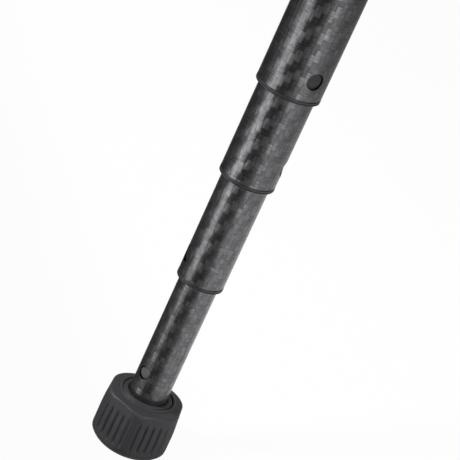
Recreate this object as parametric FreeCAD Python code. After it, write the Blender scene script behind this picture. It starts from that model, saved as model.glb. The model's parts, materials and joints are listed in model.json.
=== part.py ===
import FreeCAD, Part
import math
import os

from FreeCAD import Vector

# A camera tripod: three legs of four nested carbon tubes, a crown, a sliding column and a ball head.
# Millimetres, +Z up. The origin is the camera's seat on top of the quick plate, on the column's axis.
# Each leg is drawn upright about its own tube axis, with its pivot at height 0, and is then spread
# and set round the column. The crown, column and head are drawn about the column with the leg pivots
# at height 0. Every piece is moved down to the origin as it is written.

# Legs
LEG_COUNT = 3
LEG_1_AZIMUTH = 180.0
LEG_SPREAD = 22.5
TOP_TUBE_DIAMETER = 24.0
TUBE_STEP = 3.0
TUBE_WALL = 1.0
TOP_TUBE_LENGTH = 310.0
# how far each tube stands out of the one above with the leg closed; the last to the foot's top ring
TUBE_2_SHOWS = 36.8
TUBE_3_SHOWS = 44.0
TUBE_4_SHOWS = 51.8

# Lower end sleeves, each with a lip below the tube and a snap button through its wall
SLEEVE_LENGTH = 28.0
LIP_HEIGHT = 1.6
LIP_PROUD = 0.05
LIP_ROUND = 0.5
BUTTON_DIAMETER = 6.2
BUTTON_ABOVE_END = 9.3
BUTTON_RECESS = 0.15
# turn of each button about the leg, from straight outward
BUTTON_TURNS = (118.5, 167.5, 9.5)
LOWEST_BUTTON_DIAMETER = 5.0
LOWEST_BUTTON_ABOVE_FOOT = 10.5
LOWEST_BUTTON_TURN = 41.0

# Locks at the tube tops: a plug bonded in the tube, and a split expander round its stud
PLUG_DEPTH = 22.0
EXPANDER_LENGTH = 20.0
EXPANDER_SPLIT = 1.6
# wall of the thinnest expander, round the lowest tube's stud
EXPANDER_WALL = 2.85
STUD_HEAD = 1.6
STUD_HEAD_STEP = 1.6

# Foot, measured down the leg from its top ring
FOOT_SIDES = 6
FOOT_TURN = 20.5
FOOT_HOLE_GAP = 0.8
FOOT_RING_WIDTH = 2.9
FOOT_RING_HEIGHT = 0.6
FOOT_RING_ROUND = 0.3
FOOT_SHOULDER_DROP = 0.4
FOOT_SHOULDER_ROUND = 2.7
FOOT_RUBBER_WALL = 4.1
FOOT_DRAFT = 0.9
FOOT_TAPER_DEPTH = 10.0
FOOT_CORNER_ROUND = 7.2
# what the turned shape takes off the six corners
FOOT_CORNER_TRIM = 0.15
FOOT_WALL_END = 16.6
FOOT_EDGE_ROUND = 6.0
SOLE_SLOPE = 24.0
GROOVES_PER_SIDE = 5
GROOVE_PITCH = 3.0
GROOVE_RADIUS = 0.75
GROOVE_DEPTH = 0.35
GROOVE_START = 6.4
GROOVE_LENGTH = 11.8
CORE_TOP_DEPTH = 1.8
CORE_NECK_LENGTH = 6.0
CORE_ANCHOR_STEP = 2.5
TUBE_IN_FOOT = 15.5
CORE_FLOOR = 2.0
CORE_PLUG_ABOVE_FOOT = 14.0

# Hinge block and angle latch
PIVOT_RADIUS = 30.0
PIVOT_BOLT_DIAMETER = 6.0
TONGUE_WIDTH = 16.0
TONGUE_HALF_DEPTH = 9.0
TONGUE_TOP = 13.0
TONGUE_ROUND = 3.5
SOCKET_TOP = 12.0
SOCKET_LENGTH = 27.0
SOCKET_WALL = 2.5
SOCKET_ROOF = 3.0
SOCKET_ROUND = 1.5
LATCH_WIDTH = 8.0
LATCH_HEIGHT = 5.0
LATCH_BASE = 5.0
LATCH_TAB_THICKNESS = 3.0
LATCH_TAB_WIDTH = 13.0
LATCH_TAB_HEIGHT = 12.0
LATCH_TAB_ROUND = 2.5

# Crown
EAR_THICKNESS = 5.0
EAR_RADIUS = 9.5
CROWN_WEB_RADIUS = 20.0
CROWN_WALL = 4.4
BOLT_HEAD_DIAMETER = 10.0
BOLT_HEAD_HEIGHT = 2.6
BOLT_SOCKET_SIDES = 6
BOLT_SOCKET_ACROSS = 4.0
BOLT_SOCKET_DEPTH = 1.6

# Column, its bushing and its collar
COLUMN_DIAMETER = 22.0
COLUMN_WALL = 1.5
COLUMN_BELOW_PIVOT = 205.0
BUSHING_WALL = 1.9
BUSHING_FOOT = 4.0
BUSHING_SPLIT = 2.0
BUSHING_PROUD = 1.0
NECK_WALL = 1.6
COLLAR_START = 14.2
COLLAR_HEIGHT = 13.0
COLLAR_WALL = 4.5
COLLAR_LIP_HEIGHT = 4.0
COLLAR_FLUTES = 18
COLLAR_FLUTE_RADIUS = 1.6
COLLAR_FLUTE_DEPTH = 0.7

# Ballast hook in the column's lower end
HOOK_CAP_HEIGHT = 3.0
HOOK_PLUG_LENGTH = 12.0
HOOK_RING_RADIUS = 7.5
HOOK_WIRE_RADIUS = 2.0

# Ball head
HEAD_BASE_RADIUS = 17.5
HEAD_BASE_HEIGHT = 8.0
HEAD_PLUG_LENGTH = 14.0
PAN_SPIGOT_RADIUS = 6.0
PAN_SPIGOT_HEIGHT = 3.0
BALL_RADIUS = 14.0
HOUSING_RADIUS = 19.0
HOUSING_BELOW_BALL = 19.0
HOUSING_ABOVE_BALL = 6.5
HOUSING_CHAMFER = 1.5
STEM_RADIUS = 5.0
STEM_DISC_RADIUS = 12.0
STEM_DISC_HEIGHT = 2.0
CLAMP_ABOVE_BALL = 22.0
NOTCH_GAP = 0.6
BALL_KNOB_RADIUS = 10.0
BALL_KNOB_LENGTH = 14.0
BALL_KNOB_DROP = 3.0
BALL_SCREW_RADIUS = 3.0

# Quick release clamp and plate
PLATE_LENGTH = 50.0
PLATE_WIDTH = 38.0
PLATE_HEIGHT = 9.0
PLATE_TOP_THICKNESS = 4.0
PLATE_FOOT_THICKNESS = 1.5
PLATE_WAIST_STEP = 2.5
PLATE_CORNER = 4.0
CLAMP_LENGTH = 42.0
CLAMP_FLOOR = 8.0
JAW_THICKNESS = 6.0
JAW_LIP_DROP = 0.4
JAW_PIN_RADIUS = 1.5
JAW_PIN_LENGTH = 10.0
JAW_PIN_SPACING = 28.0
CLAMP_SCREW_RADIUS = 2.0
CLAMP_SCREW_IN_BODY = 12.0
CLAMP_KNOB_RADIUS = 8.5
CLAMP_KNOB_LENGTH = 10.0

# Camera screw, 1/4 inch
SCREW_RADIUS = 3.175
SCREW_STANDS = 5.5
SCREW_CHAMFER = 0.5
SCREW_SHANK_RADIUS = 2.4
SCREW_HEAD_RADIUS = 7.0
SCREW_HEAD_HEIGHT = 3.0
SCREW_MOUTH_DEPTH = 1.0
COIN_SLOT_WIDTH = 1.6
COIN_SLOT_DEPTH = 1.4

# Knobs and broken edges
KNOB_FLUTES = 8
KNOB_FLUTE_RADIUS = 2.6
KNOB_FLUTE_DEPTH = 1.2
EDGE_BREAK = 0.8

# Clearances
RUNNING = 0.05
GUIDE = 0.1
BOND = 0.03
FREE = 0.2
STOP = 0.3
BALL_GAP = 0.1
OVERCUT = 1.0

UP = Vector(0, 0, 1)
EAST = Vector(1, 0, 0)
NORTH = Vector(0, 1, 0)
HERE = Vector(0, 0, 0)


# Shapes used by several pieces

def rod(radius, low, high):
    """Round bar about the Z axis between two heights."""
    return Part.makeCylinder(radius, high - low, Vector(0, 0, low))


def ring(outer, inner, low, high):
    """Round tube about the Z axis between two heights."""
    bore = rod(inner, low - OVERCUT, high + OVERCUT)
    return rod(outer, low, high).cut(bore)


def block(low, high):
    """Rectangular block between two opposite corners."""
    size = high - low
    return Part.makeBox(size.x, size.y, size.z, low)


def rounded_block(low, high, corner, along):
    """Rectangular block whose four edges along one direction are rounded."""
    solid = block(low, high)
    edges = [e for e in solid.Edges if abs(e.tangentAt(e.FirstParameter).dot(along)) > 0.9]
    return solid.makeFillet(corner, edges)


def edges_at(solid, height):
    """Edges of a solid that lie wholly at one height."""
    return [e for e in solid.Edges
            if abs(e.BoundBox.ZMin - height) < 1e-4 and abs(e.BoundBox.ZMax - height) < 1e-4]


def around(angle, radius=1.0, height=0.0):
    """Point at an angle in degrees round the Z axis."""
    turn = math.radians(angle)
    return Vector(radius * math.cos(turn), radius * math.sin(turn), height)


def turned(solid, angle):
    """Copy of a solid, turned about the Z axis."""
    copy = solid.copy()
    copy.rotate(HERE, UP, angle)
    return copy


def lifted(solid, height):
    """Copy of a solid, moved up."""
    copy = solid.copy()
    copy.translate(UP * height)
    return copy


def laid(solid, direction, start):
    """Copy of a solid drawn about the Z axis, with that axis laid along a direction from a point."""
    copy = solid.copy()
    copy.Placement = FreeCAD.Placement(start, FreeCAD.Rotation(UP, direction)).multiply(copy.Placement)
    return copy


def revolved(profile):
    """Solid of revolution about the Z axis from a closed list of edges in the XZ plane."""
    face = Part.Face(Part.Wire(profile))
    return face.revolve(HERE, UP, 360)


def line(a, b):
    """Straight edge in the XZ plane between two (radius, height) points."""
    return Part.LineSegment(Vector(a[0], 0, a[1]), Vector(b[0], 0, b[1])).toShape()


def fluted_knob(radius, length, flutes, flute_radius, flute_depth, edge):
    """Round knob about the Z axis with finger flutes round its rim."""
    knob = rod(radius, 0, length)
    knob = knob.makeChamfer(edge, edges_at(knob, 0) + edges_at(knob, length))
    centre = radius + flute_radius - flute_depth
    cutters = [Part.makeCylinder(flute_radius, length + 2 * OVERCUT,
                                 around(360.0 * i / flutes, centre, -OVERCUT))
               for i in range(flutes)]
    return knob.cut(Part.makeCompound(cutters))


# Places that follow from the driving sizes, measured down each leg from its pivot

def tube_radius(section):
    return (TOP_TUBE_DIAMETER - TUBE_STEP * (section - 1)) / 2


def bore_radius(section):
    return tube_radius(section) - TUBE_WALL


STUD_DIAMETER = 2 * (bore_radius(3) - GUIDE - EXPANDER_WALL - RUNNING)
LOCK_LENGTH = STUD_HEAD + EXPANDER_LENGTH + 2 * FREE
TUBE_1_TOP = SOCKET_TOP + SOCKET_ROOF + GUIDE
TUBE_TOPS = {1: TUBE_1_TOP}
TUBE_TOPS[2] = TUBE_1_TOP + FREE + LOCK_LENGTH
TUBE_TOPS[3] = TUBE_TOPS[2] + PLUG_DEPTH + FREE + LOCK_LENGTH
TUBE_TOPS[4] = TUBE_TOPS[3] + PLUG_DEPTH + FREE + LOCK_LENGTH
# the lower edge of each lip
LIP_ENDS = {1: TUBE_1_TOP + TOP_TUBE_LENGTH + LIP_HEIGHT}
LIP_ENDS[2] = LIP_ENDS[1] + TUBE_2_SHOWS
LIP_ENDS[3] = LIP_ENDS[2] + TUBE_3_SHOWS
FOOT_TOP = LIP_ENDS[3] + TUBE_4_SHOWS
TUBE_ENDS = {n: LIP_ENDS[n] - LIP_HEIGHT for n in (1, 2, 3)}
TUBE_ENDS[4] = FOOT_TOP + TUBE_IN_FOOT


def stroke(section):
    """How far a tube slides out before its expander meets the sleeve below."""
    expander_end = TUBE_TOPS[section] - FREE
    sleeve_top = TUBE_ENDS[section - 1] - SLEEVE_LENGTH
    return sleeve_top - expander_end - STOP


# Heights on the column's axis, from the leg pivots up
COLUMN_RADIUS = COLUMN_DIAMETER / 2
COLUMN_BORE = COLUMN_RADIUS - COLUMN_WALL
BUSHING_RADIUS = COLUMN_RADIUS + RUNNING + BUSHING_WALL
NECK_RADIUS = BUSHING_RADIUS + BOND + NECK_WALL
STOP_WALL = COLUMN_RADIUS + STOP + CROWN_WALL
COLLAR_TOP = COLLAR_START + COLLAR_HEIGHT
COLLAR_RADIUS = NECK_RADIUS + GUIDE + COLLAR_WALL
BUSHING_TOP = COLLAR_TOP - COLLAR_LIP_HEIGHT - FREE
NECK_TOP = BUSHING_TOP - BUSHING_PROUD
COLUMN_TOP = COLLAR_TOP + STOP
BASE_TOP = COLUMN_TOP + HEAD_BASE_HEIGHT
BALL_HEIGHT = BASE_TOP + FREE + HOUSING_BELOW_BALL
CLAMP_BOTTOM = BALL_HEIGHT + CLAMP_ABOVE_BALL
PLATE_BOTTOM = CLAMP_BOTTOM + CLAMP_FLOOR + GUIDE
SEAT_HEIGHT = PLATE_BOTTOM + PLATE_HEIGHT


# Leg pieces, in the leg's upright frame

def hinge_block():
    """Knuckle between the crown's ears, with the bonded socket for the top tube below it."""
    socket_radius = tube_radius(1) + SOCKET_WALL
    socket = rod(socket_radius, -SOCKET_TOP - SOCKET_LENGTH, -SOCKET_TOP)
    socket = socket.makeFillet(SOCKET_ROUND, edges_at(socket, -SOCKET_TOP))
    tongue = rounded_block(Vector(-TONGUE_HALF_DEPTH, -TONGUE_WIDTH / 2, -SOCKET_TOP - TONGUE_ROUND),
                           Vector(TONGUE_HALF_DEPTH, TONGUE_WIDTH / 2, TONGUE_TOP),
                           TONGUE_ROUND, NORTH)
    knuckle = socket.fuse(tongue).removeSplitter()
    tube_seat = rod(tube_radius(1) + BOND, -SOCKET_TOP - SOCKET_LENGTH - OVERCUT, -SOCKET_TOP - SOCKET_ROOF)
    pivot_hole = laid(rod(PIVOT_BOLT_DIAMETER / 2 + RUNNING, -TONGUE_WIDTH, TONGUE_WIDTH), NORTH, HERE)
    slot = block(Vector(-TONGUE_HALF_DEPTH - OVERCUT, -LATCH_WIDTH / 2 - GUIDE, LATCH_BASE - GUIDE),
                 Vector(TONGUE_HALF_DEPTH + OVERCUT, LATCH_WIDTH / 2 + GUIDE,
                        LATCH_BASE + LATCH_HEIGHT + GUIDE))
    return knuckle.cut(tube_seat).cut(pivot_hole).cut(slot)


def angle_latch():
    """Pull tab whose nose rests on the crown's stop wall and holds the leg at its spread."""
    nose_reach = STOP_WALL - PIVOT_RADIUS
    bar = block(Vector(nose_reach - LATCH_HEIGHT, -LATCH_WIDTH / 2, LATCH_BASE),
                Vector(TONGUE_HALF_DEPTH + FREE + LATCH_TAB_THICKNESS / 2, LATCH_WIDTH / 2,
                       LATCH_BASE + LATCH_HEIGHT))
    # the nose is cut upright, so that it lies flat on the stop wall once the leg is spread
    waste = block(Vector(nose_reach - TONGUE_TOP * 2, -LATCH_WIDTH, -TONGUE_TOP * 2),
                  Vector(nose_reach + STOP, LATCH_WIDTH, TONGUE_TOP * 2))
    waste.rotate(HERE, NORTH, LEG_SPREAD)
    middle = LATCH_BASE + LATCH_HEIGHT / 2
    tab = rounded_block(Vector(TONGUE_HALF_DEPTH + FREE, -LATCH_TAB_WIDTH / 2, middle - LATCH_TAB_HEIGHT / 2),
                        Vector(TONGUE_HALF_DEPTH + FREE + LATCH_TAB_THICKNESS, LATCH_TAB_WIDTH / 2,
                               middle + LATCH_TAB_HEIGHT / 2),
                        LATCH_TAB_ROUND, EAST)
    return bar.cut(waste).fuse(tab).removeSplitter()


def button_place(section):
    """Diameter, height and turn of the snap button near a tube's lower end."""
    if section == 4:
        return LOWEST_BUTTON_DIAMETER, -FOOT_TOP + LOWEST_BUTTON_ABOVE_FOOT, LOWEST_BUTTON_TURN
    return BUTTON_DIAMETER, -LIP_ENDS[section] + BUTTON_ABOVE_END, BUTTON_TURNS[section - 1]


def button_bar(section, radius, start, end):
    """Round bar across the tube wall at the snap button's place."""
    height, turn = button_place(section)[1:]
    direction = around(turn)
    return Part.makeCylinder(radius, end - start, direction * start + UP * height, direction)


def leg_tube(section):
    """Carbon tube with the hole for its snap button."""
    outer = tube_radius(section)
    tube = ring(outer, bore_radius(section), -TUBE_ENDS[section], -TUBE_TOPS[section])
    hole = button_bar(section, button_place(section)[0] / 2 + GUIDE, bore_radius(section) / 2,
                      outer + OVERCUT)
    return tube.cut(hole)


def end_sleeve(section):
    """Guide sleeve in a tube's lower end: the next tube runs in it, and its lip shows below."""
    outer = bore_radius(section) - BOND
    inner = tube_radius(section + 1) + GUIDE
    lip_radius = tube_radius(section) + LIP_PROUD
    lip = rod(lip_radius, -LIP_ENDS[section], -TUBE_ENDS[section] - BOND)
    lip = lip.makeFillet(LIP_ROUND, edges_at(lip, -LIP_ENDS[section]))
    body = rod(outer, -LIP_ENDS[section] + LIP_ROUND, -TUBE_ENDS[section] + SLEEVE_LENGTH)
    button = button_bar(section, button_place(section)[0] / 2, inner, tube_radius(section) - BUTTON_RECESS)
    bore = rod(inner, -LIP_ENDS[section] - OVERCUT, -TUBE_ENDS[section] + SLEEVE_LENGTH + OVERCUT)
    return lip.fuse(body).fuse(button).cut(bore).removeSplitter()


def lock_plug(section):
    """Plug bonded in a tube's top, with the stud and head that carry the expander."""
    top = -TUBE_TOPS[section]
    stud = STUD_DIAMETER / 2
    head_start = top + EXPANDER_LENGTH + 2 * FREE
    plug = rod(bore_radius(section) - BOND, top - PLUG_DEPTH, top)
    stem = rod(stud, top - OVERCUT, head_start)
    head = rod(stud + STUD_HEAD_STEP, head_start, top + LOCK_LENGTH)
    return plug.fuse(stem).fuse(head).removeSplitter()


def expander(section):
    """Split ring that grips the bore of the tube outside when the plug turns in it."""
    bottom = -TUBE_TOPS[section] + FREE
    sleeve = ring(bore_radius(section - 1) - GUIDE, STUD_DIAMETER / 2 + RUNNING,
                  bottom, bottom + EXPANDER_LENGTH)
    split = block(Vector(0, -EXPANDER_SPLIT / 2, bottom - OVERCUT),
                  Vector(tube_radius(section - 1), EXPANDER_SPLIT / 2,
                         bottom + EXPANDER_LENGTH + OVERCUT))
    return sleeve.cut(split)


# Foot, in its own frame: the top ring at height 0, one corner along +X

FOOT_RING_RADIUS = tube_radius(4) + FOOT_HOLE_GAP + FOOT_RING_WIDTH
CORE_NECK_RADIUS = tube_radius(4) + FOOT_HOLE_GAP - BOND
CORE_ANCHOR_RADIUS = CORE_NECK_RADIUS + CORE_ANCHOR_STEP
FOOT_APOTHEM = CORE_ANCHOR_RADIUS + BOND + FOOT_RUBBER_WALL
FOOT_TOP_APOTHEM = FOOT_APOTHEM - FOOT_DRAFT
CORE_BOTTOM = TUBE_IN_FOOT + GUIDE + CORE_FLOOR


def foot_outline(apothem, height):
    """Six-sided wire with round corners, at one height."""
    half_turn = 180.0 / FOOT_SIDES
    centre_radius = (apothem - FOOT_CORNER_ROUND) / math.cos(math.radians(half_turn))
    arcs = []
    for side in range(FOOT_SIDES):
        corner = 360.0 * side / FOOT_SIDES
        centre = around(corner, centre_radius, height)
        points = [centre + around(corner + turn, FOOT_CORNER_ROUND) for turn in (-half_turn, 0, half_turn)]
        arcs.append(Part.Arc(*points).toShape())
    edges = []
    for arc, following in zip(arcs, arcs[1:] + arcs[:1]):
        flat = Part.LineSegment(arc.Vertexes[-1].Point, following.Vertexes[0].Point)
        edges += [arc, flat.toShape()]
    return Part.Wire(edges)


def foot_envelope():
    """Turned shape that rounds the foot's shoulder, lower edge and sole, with its top ring."""
    corner_centre = (FOOT_APOTHEM - FOOT_CORNER_ROUND) / math.cos(math.pi / FOOT_SIDES)
    corner_radius = corner_centre + FOOT_CORNER_ROUND - FOOT_CORNER_TRIM
    slope = math.radians(SOLE_SLOPE)
    edge_centre = corner_radius - FOOT_EDGE_ROUND
    sole_start = (edge_centre + FOOT_EDGE_ROUND * math.sin(slope),
                  -FOOT_WALL_END - FOOT_EDGE_ROUND * math.cos(slope))
    sole_radius = sole_start[0] / math.sin(slope)
    sole_centre = sole_start[1] + sole_radius * math.cos(slope)
    shoulder_centre = (corner_radius - FOOT_SHOULDER_ROUND,
                       -FOOT_RING_HEIGHT - FOOT_SHOULDER_DROP - FOOT_SHOULDER_ROUND)

    def arc(centre, radius, start, end):
        """Arc in the XZ plane between two angles in degrees."""
        turns = [math.radians(a) for a in (start, (start + end) / 2, end)]
        points = [Vector(centre[0] + radius * math.cos(t), 0, centre[1] + radius * math.sin(t)) for t in turns]
        return Part.Arc(*points).toShape()

    ring_centre = (FOOT_RING_RADIUS - FOOT_RING_ROUND, -FOOT_RING_ROUND)
    return revolved([
        line((0, 0), (ring_centre[0], 0)),
        arc(ring_centre, FOOT_RING_ROUND, 90, 0),
        line((FOOT_RING_RADIUS, -FOOT_RING_ROUND), (FOOT_RING_RADIUS, -FOOT_RING_HEIGHT)),
        line((FOOT_RING_RADIUS, -FOOT_RING_HEIGHT),
             (shoulder_centre[0], -FOOT_RING_HEIGHT - FOOT_SHOULDER_DROP)),
        arc(shoulder_centre, FOOT_SHOULDER_ROUND, 90, 0),
        line((corner_radius, shoulder_centre[1]), (corner_radius, -FOOT_WALL_END)),
        arc((edge_centre, -FOOT_WALL_END), FOOT_EDGE_ROUND, 0, SOLE_SLOPE - 90),
        arc((0, sole_centre), sole_radius, SOLE_SLOPE - 90, -90),
        line((0, sole_centre - sole_radius), (0, 0)),
    ])


def foot_grooves():
    """Upright round-ended cutters for the shallow grooves on the foot's sides."""
    out = FOOT_APOTHEM + GROOVE_RADIUS - GROOVE_DEPTH
    cutters = []
    for side in range(FOOT_SIDES):
        facing = (side + 0.5) * 360.0 / FOOT_SIDES
        for number in range(GROOVES_PER_SIDE):
            along = (number - (GROOVES_PER_SIDE - 1) / 2) * GROOVE_PITCH
            # past the flat, the groove follows the rounded corner
            flat_half = (FOOT_APOTHEM - FOOT_CORNER_ROUND) * math.tan(math.pi / FOOT_SIDES)
            past = max(0.0, abs(along) - flat_half)
            bend = past / FOOT_CORNER_ROUND
            inward = (FOOT_CORNER_ROUND + GROOVE_RADIUS) * (1 - math.cos(bend))
            sideways = min(abs(along), flat_half) + (FOOT_CORNER_ROUND + GROOVE_RADIUS) * math.sin(bend)
            place = around(facing, out - inward) + around(facing + 90, math.copysign(sideways, along))
            low = -GROOVE_START - GROOVE_LENGTH + GROOVE_RADIUS
            high = -GROOVE_START - GROOVE_RADIUS
            bar = Part.makeCylinder(GROOVE_RADIUS, high - low, UP * low)
            for end in (low, high):
                bar = bar.fuse(Part.makeSphere(GROOVE_RADIUS, UP * end))
            # the seam of the bar faces away from the foot
            bar = turned(bar, facing)
            bar.translate(place)
            cutters.append(bar)
    return Part.makeCompound(cutters)


def foot_rubber():
    """Six-sided rubber foot, hollow for its core, with five grooves on each side."""
    deep = FOOT_WALL_END + FOOT_EDGE_ROUND * 2
    top = foot_outline(FOOT_TOP_APOTHEM, 0)
    waist = foot_outline(FOOT_APOTHEM, -FOOT_TAPER_DEPTH)
    low = foot_outline(FOOT_APOTHEM, -deep)
    sides = Part.makeLoft([top, waist, low], True, True)
    body = sides.common(foot_envelope())
    body = body.cut(rod(CORE_NECK_RADIUS + BOND, -CORE_TOP_DEPTH - CORE_NECK_LENGTH, OVERCUT))
    body = body.cut(rod(CORE_ANCHOR_RADIUS + BOND, -CORE_BOTTOM - BOND,
                        -CORE_TOP_DEPTH - CORE_NECK_LENGTH + BOND))
    return body.cut(foot_grooves())


def foot_core():
    """Plastic cup and plug that hold the rubber on the end of the lowest tube."""
    plug_top = CORE_PLUG_ABOVE_FOOT
    neck = rod(CORE_NECK_RADIUS, -CORE_BOTTOM, -CORE_TOP_DEPTH)
    anchor = rod(CORE_ANCHOR_RADIUS, -CORE_BOTTOM, -CORE_TOP_DEPTH - CORE_NECK_LENGTH)
    tube_seat = ring(tube_radius(4) + BOND, bore_radius(4) - BOND, -TUBE_IN_FOOT - GUIDE,
                     -CORE_TOP_DEPTH + OVERCUT)
    plug = rod(bore_radius(4) - BOND, -CORE_BOTTOM, plug_top)
    button = lifted(button_bar(4, LOWEST_BUTTON_DIAMETER / 2, 0, tube_radius(4) - BUTTON_RECESS), FOOT_TOP)
    return neck.fuse(anchor).cut(tube_seat).fuse(plug).fuse(button).removeSplitter()


def at_leg_end(solid):
    """Moves a foot piece to the leg's end."""
    return lifted(solid, -FOOT_TOP)


# Crown, column and head, about the column's axis

EAR_FACE = TONGUE_WIDTH / 2 + GUIDE
EAR_OUTSIDE = EAR_FACE + EAR_THICKNESS


def leg_azimuth(number):
    return LEG_1_AZIMUTH + 360.0 * (number - 1) / LEG_COUNT


def crown():
    """Cast hub with a forked pair of ears for each leg and a threaded neck for the collar."""
    body = rod(CROWN_WEB_RADIUS, -EAR_RADIUS, EAR_RADIUS)
    body = body.makeChamfer(EDGE_BREAK, edges_at(body, -EAR_RADIUS) + edges_at(body, EAR_RADIUS))
    body = body.fuse(rod(NECK_RADIUS, 0, NECK_TOP))
    knuckle = rod(EAR_RADIUS, -EAR_OUTSIDE, EAR_OUTSIDE)
    knuckle = knuckle.makeChamfer(EDGE_BREAK, edges_at(knuckle, -EAR_OUTSIDE) + edges_at(knuckle, EAR_OUTSIDE))
    knuckle = laid(knuckle, NORTH, EAST * PIVOT_RADIUS)
    arm = block(Vector(0, -EAR_OUTSIDE, -EAR_RADIUS), Vector(PIVOT_RADIUS, EAR_OUTSIDE, EAR_RADIUS))
    arm_edges = [e for e in arm.Edges if abs(e.tangentAt(e.FirstParameter).x) > 0.9]
    arm = arm.makeChamfer(EDGE_BREAK, arm_edges).fuse(knuckle)
    slot = block(Vector(STOP_WALL, -EAR_FACE, -EAR_RADIUS - OVERCUT),
                 Vector(PIVOT_RADIUS * 2, EAR_FACE, EAR_RADIUS + OVERCUT))
    bolt_hole = laid(rod(PIVOT_BOLT_DIAMETER / 2 + BOND, -EAR_OUTSIDE - OVERCUT, EAR_OUTSIDE + OVERCUT),
                     NORTH, EAST * PIVOT_RADIUS)
    legs = range(1, LEG_COUNT + 1)
    for number in legs:
        body = body.fuse(turned(arm, leg_azimuth(number)))
    for number in legs:
        body = body.cut(turned(slot.fuse(bolt_hole), leg_azimuth(number)))
    body = body.cut(rod(COLUMN_RADIUS + STOP, -EAR_RADIUS - OVERCUT, NECK_TOP + OVERCUT))
    body = body.cut(rod(BUSHING_RADIUS + BOND, BUSHING_FOOT, NECK_TOP + OVERCUT))
    return body.removeSplitter()


def pivot_bolt():
    """Leg pivot bolt with a round head at each end, one with a hexagon socket."""
    shank = rod(PIVOT_BOLT_DIAMETER / 2, -EAR_OUTSIDE, EAR_OUTSIDE)
    head = rod(BOLT_HEAD_DIAMETER / 2, EAR_OUTSIDE, EAR_OUTSIDE + BOLT_HEAD_HEIGHT)
    head = head.makeChamfer(EDGE_BREAK, edges_at(head, EAR_OUTSIDE + BOLT_HEAD_HEIGHT))
    socket_radius = BOLT_SOCKET_ACROSS / 2 / math.cos(math.pi / BOLT_SOCKET_SIDES)
    socket_floor = EAR_OUTSIDE + BOLT_HEAD_HEIGHT - BOLT_SOCKET_DEPTH
    corners = [around(360.0 * i / BOLT_SOCKET_SIDES, socket_radius, socket_floor)
               for i in range(BOLT_SOCKET_SIDES)]
    outline = Part.makePolygon(corners + corners[:1])
    socket = Part.Face(outline).extrude(UP * BOLT_HEAD_HEIGHT)
    nut = head.mirror(HERE, UP)
    bolt = shank.fuse(head.cut(socket)).fuse(nut).removeSplitter()
    return laid(bolt, NORTH, EAST * PIVOT_RADIUS)


def column_bushing():
    """Split plastic bushing in the crown's neck that the collar squeezes on the column."""
    sleeve = ring(BUSHING_RADIUS, COLUMN_RADIUS + RUNNING, BUSHING_FOOT + BOND, BUSHING_TOP)
    split = block(Vector(0, -BUSHING_SPLIT / 2, BUSHING_FOOT - OVERCUT),
                  Vector(NECK_RADIUS, BUSHING_SPLIT / 2, BUSHING_TOP + OVERCUT))
    return sleeve.cut(split)


def column_collar():
    """Turning collar on the crown's neck that locks the column."""
    collar = lifted(fluted_knob(COLLAR_RADIUS, COLLAR_HEIGHT, COLLAR_FLUTES, COLLAR_FLUTE_RADIUS,
                                COLLAR_FLUTE_DEPTH, EDGE_BREAK), COLLAR_START)
    collar = collar.cut(rod(NECK_RADIUS + GUIDE, COLLAR_START - OVERCUT, COLLAR_TOP - COLLAR_LIP_HEIGHT))
    return collar.cut(rod(COLUMN_RADIUS + STOP, COLLAR_START, COLLAR_TOP + OVERCUT))


def column_tube():
    """Centre column tube."""
    return ring(COLUMN_RADIUS, COLUMN_BORE, -COLUMN_BELOW_PIVOT, COLUMN_TOP)


def ballast_hook():
    """End plug of the column with a round eye to hang a weight from."""
    end = -COLUMN_BELOW_PIVOT
    cap = rod(COLUMN_RADIUS, end - HOOK_CAP_HEIGHT, end - BOND)
    cap = cap.makeChamfer(EDGE_BREAK, edges_at(cap, end - HOOK_CAP_HEIGHT))
    plug = rod(COLUMN_BORE - BOND, end - HOOK_CAP_HEIGHT / 2, end + HOOK_PLUG_LENGTH)
    centre = UP * (end - HOOK_CAP_HEIGHT - HOOK_RING_RADIUS)
    eye = Part.makeTorus(HOOK_RING_RADIUS, HOOK_WIRE_RADIUS, centre, NORTH)
    return cap.fuse(plug).fuse(eye).removeSplitter()


def head_base():
    """Disc on the column's top, bonded in it, with the spigot that the head pans on."""
    disc = rod(HEAD_BASE_RADIUS, COLUMN_TOP + BOND, BASE_TOP)
    disc = disc.makeChamfer(EDGE_BREAK, edges_at(disc, COLUMN_TOP + BOND) + edges_at(disc, BASE_TOP))
    plug = rod(COLUMN_BORE - BOND, COLUMN_TOP - HEAD_PLUG_LENGTH, COLUMN_TOP + HEAD_BASE_HEIGHT / 2)
    spigot = rod(PAN_SPIGOT_RADIUS, BASE_TOP - OVERCUT, BASE_TOP + FREE + PAN_SPIGOT_HEIGHT)
    return disc.fuse(plug).fuse(spigot).removeSplitter()


def ball_housing():
    """Housing round the ball, with a notch on one side that lets the stem lie down."""
    bottom = BASE_TOP + FREE
    top = BALL_HEIGHT + HOUSING_ABOVE_BALL
    body = rod(HOUSING_RADIUS, bottom, top)
    body = body.makeChamfer(HOUSING_CHAMFER, edges_at(body, top))
    body = body.makeChamfer(EDGE_BREAK, edges_at(body, bottom))
    centre = UP * BALL_HEIGHT
    notch_half = STEM_RADIUS + NOTCH_GAP
    notch = Part.makeCylinder(notch_half, HOUSING_RADIUS + OVERCUT, centre, EAST)
    notch = notch.fuse(block(Vector(0, -notch_half, BALL_HEIGHT),
                             Vector(HOUSING_RADIUS + OVERCUT, notch_half, top + OVERCUT)))
    screw_hole = Part.makeCylinder(BALL_SCREW_RADIUS + RUNNING, HOUSING_RADIUS + OVERCUT,
                                   centre - UP * BALL_KNOB_DROP, NORTH)
    spigot_hole = rod(PAN_SPIGOT_RADIUS + RUNNING, bottom - OVERCUT, bottom + PAN_SPIGOT_HEIGHT + FREE)
    body = body.cut(Part.makeSphere(BALL_RADIUS + BALL_GAP, centre))
    return body.cut(notch).cut(screw_hole).cut(spigot_hole)


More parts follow.
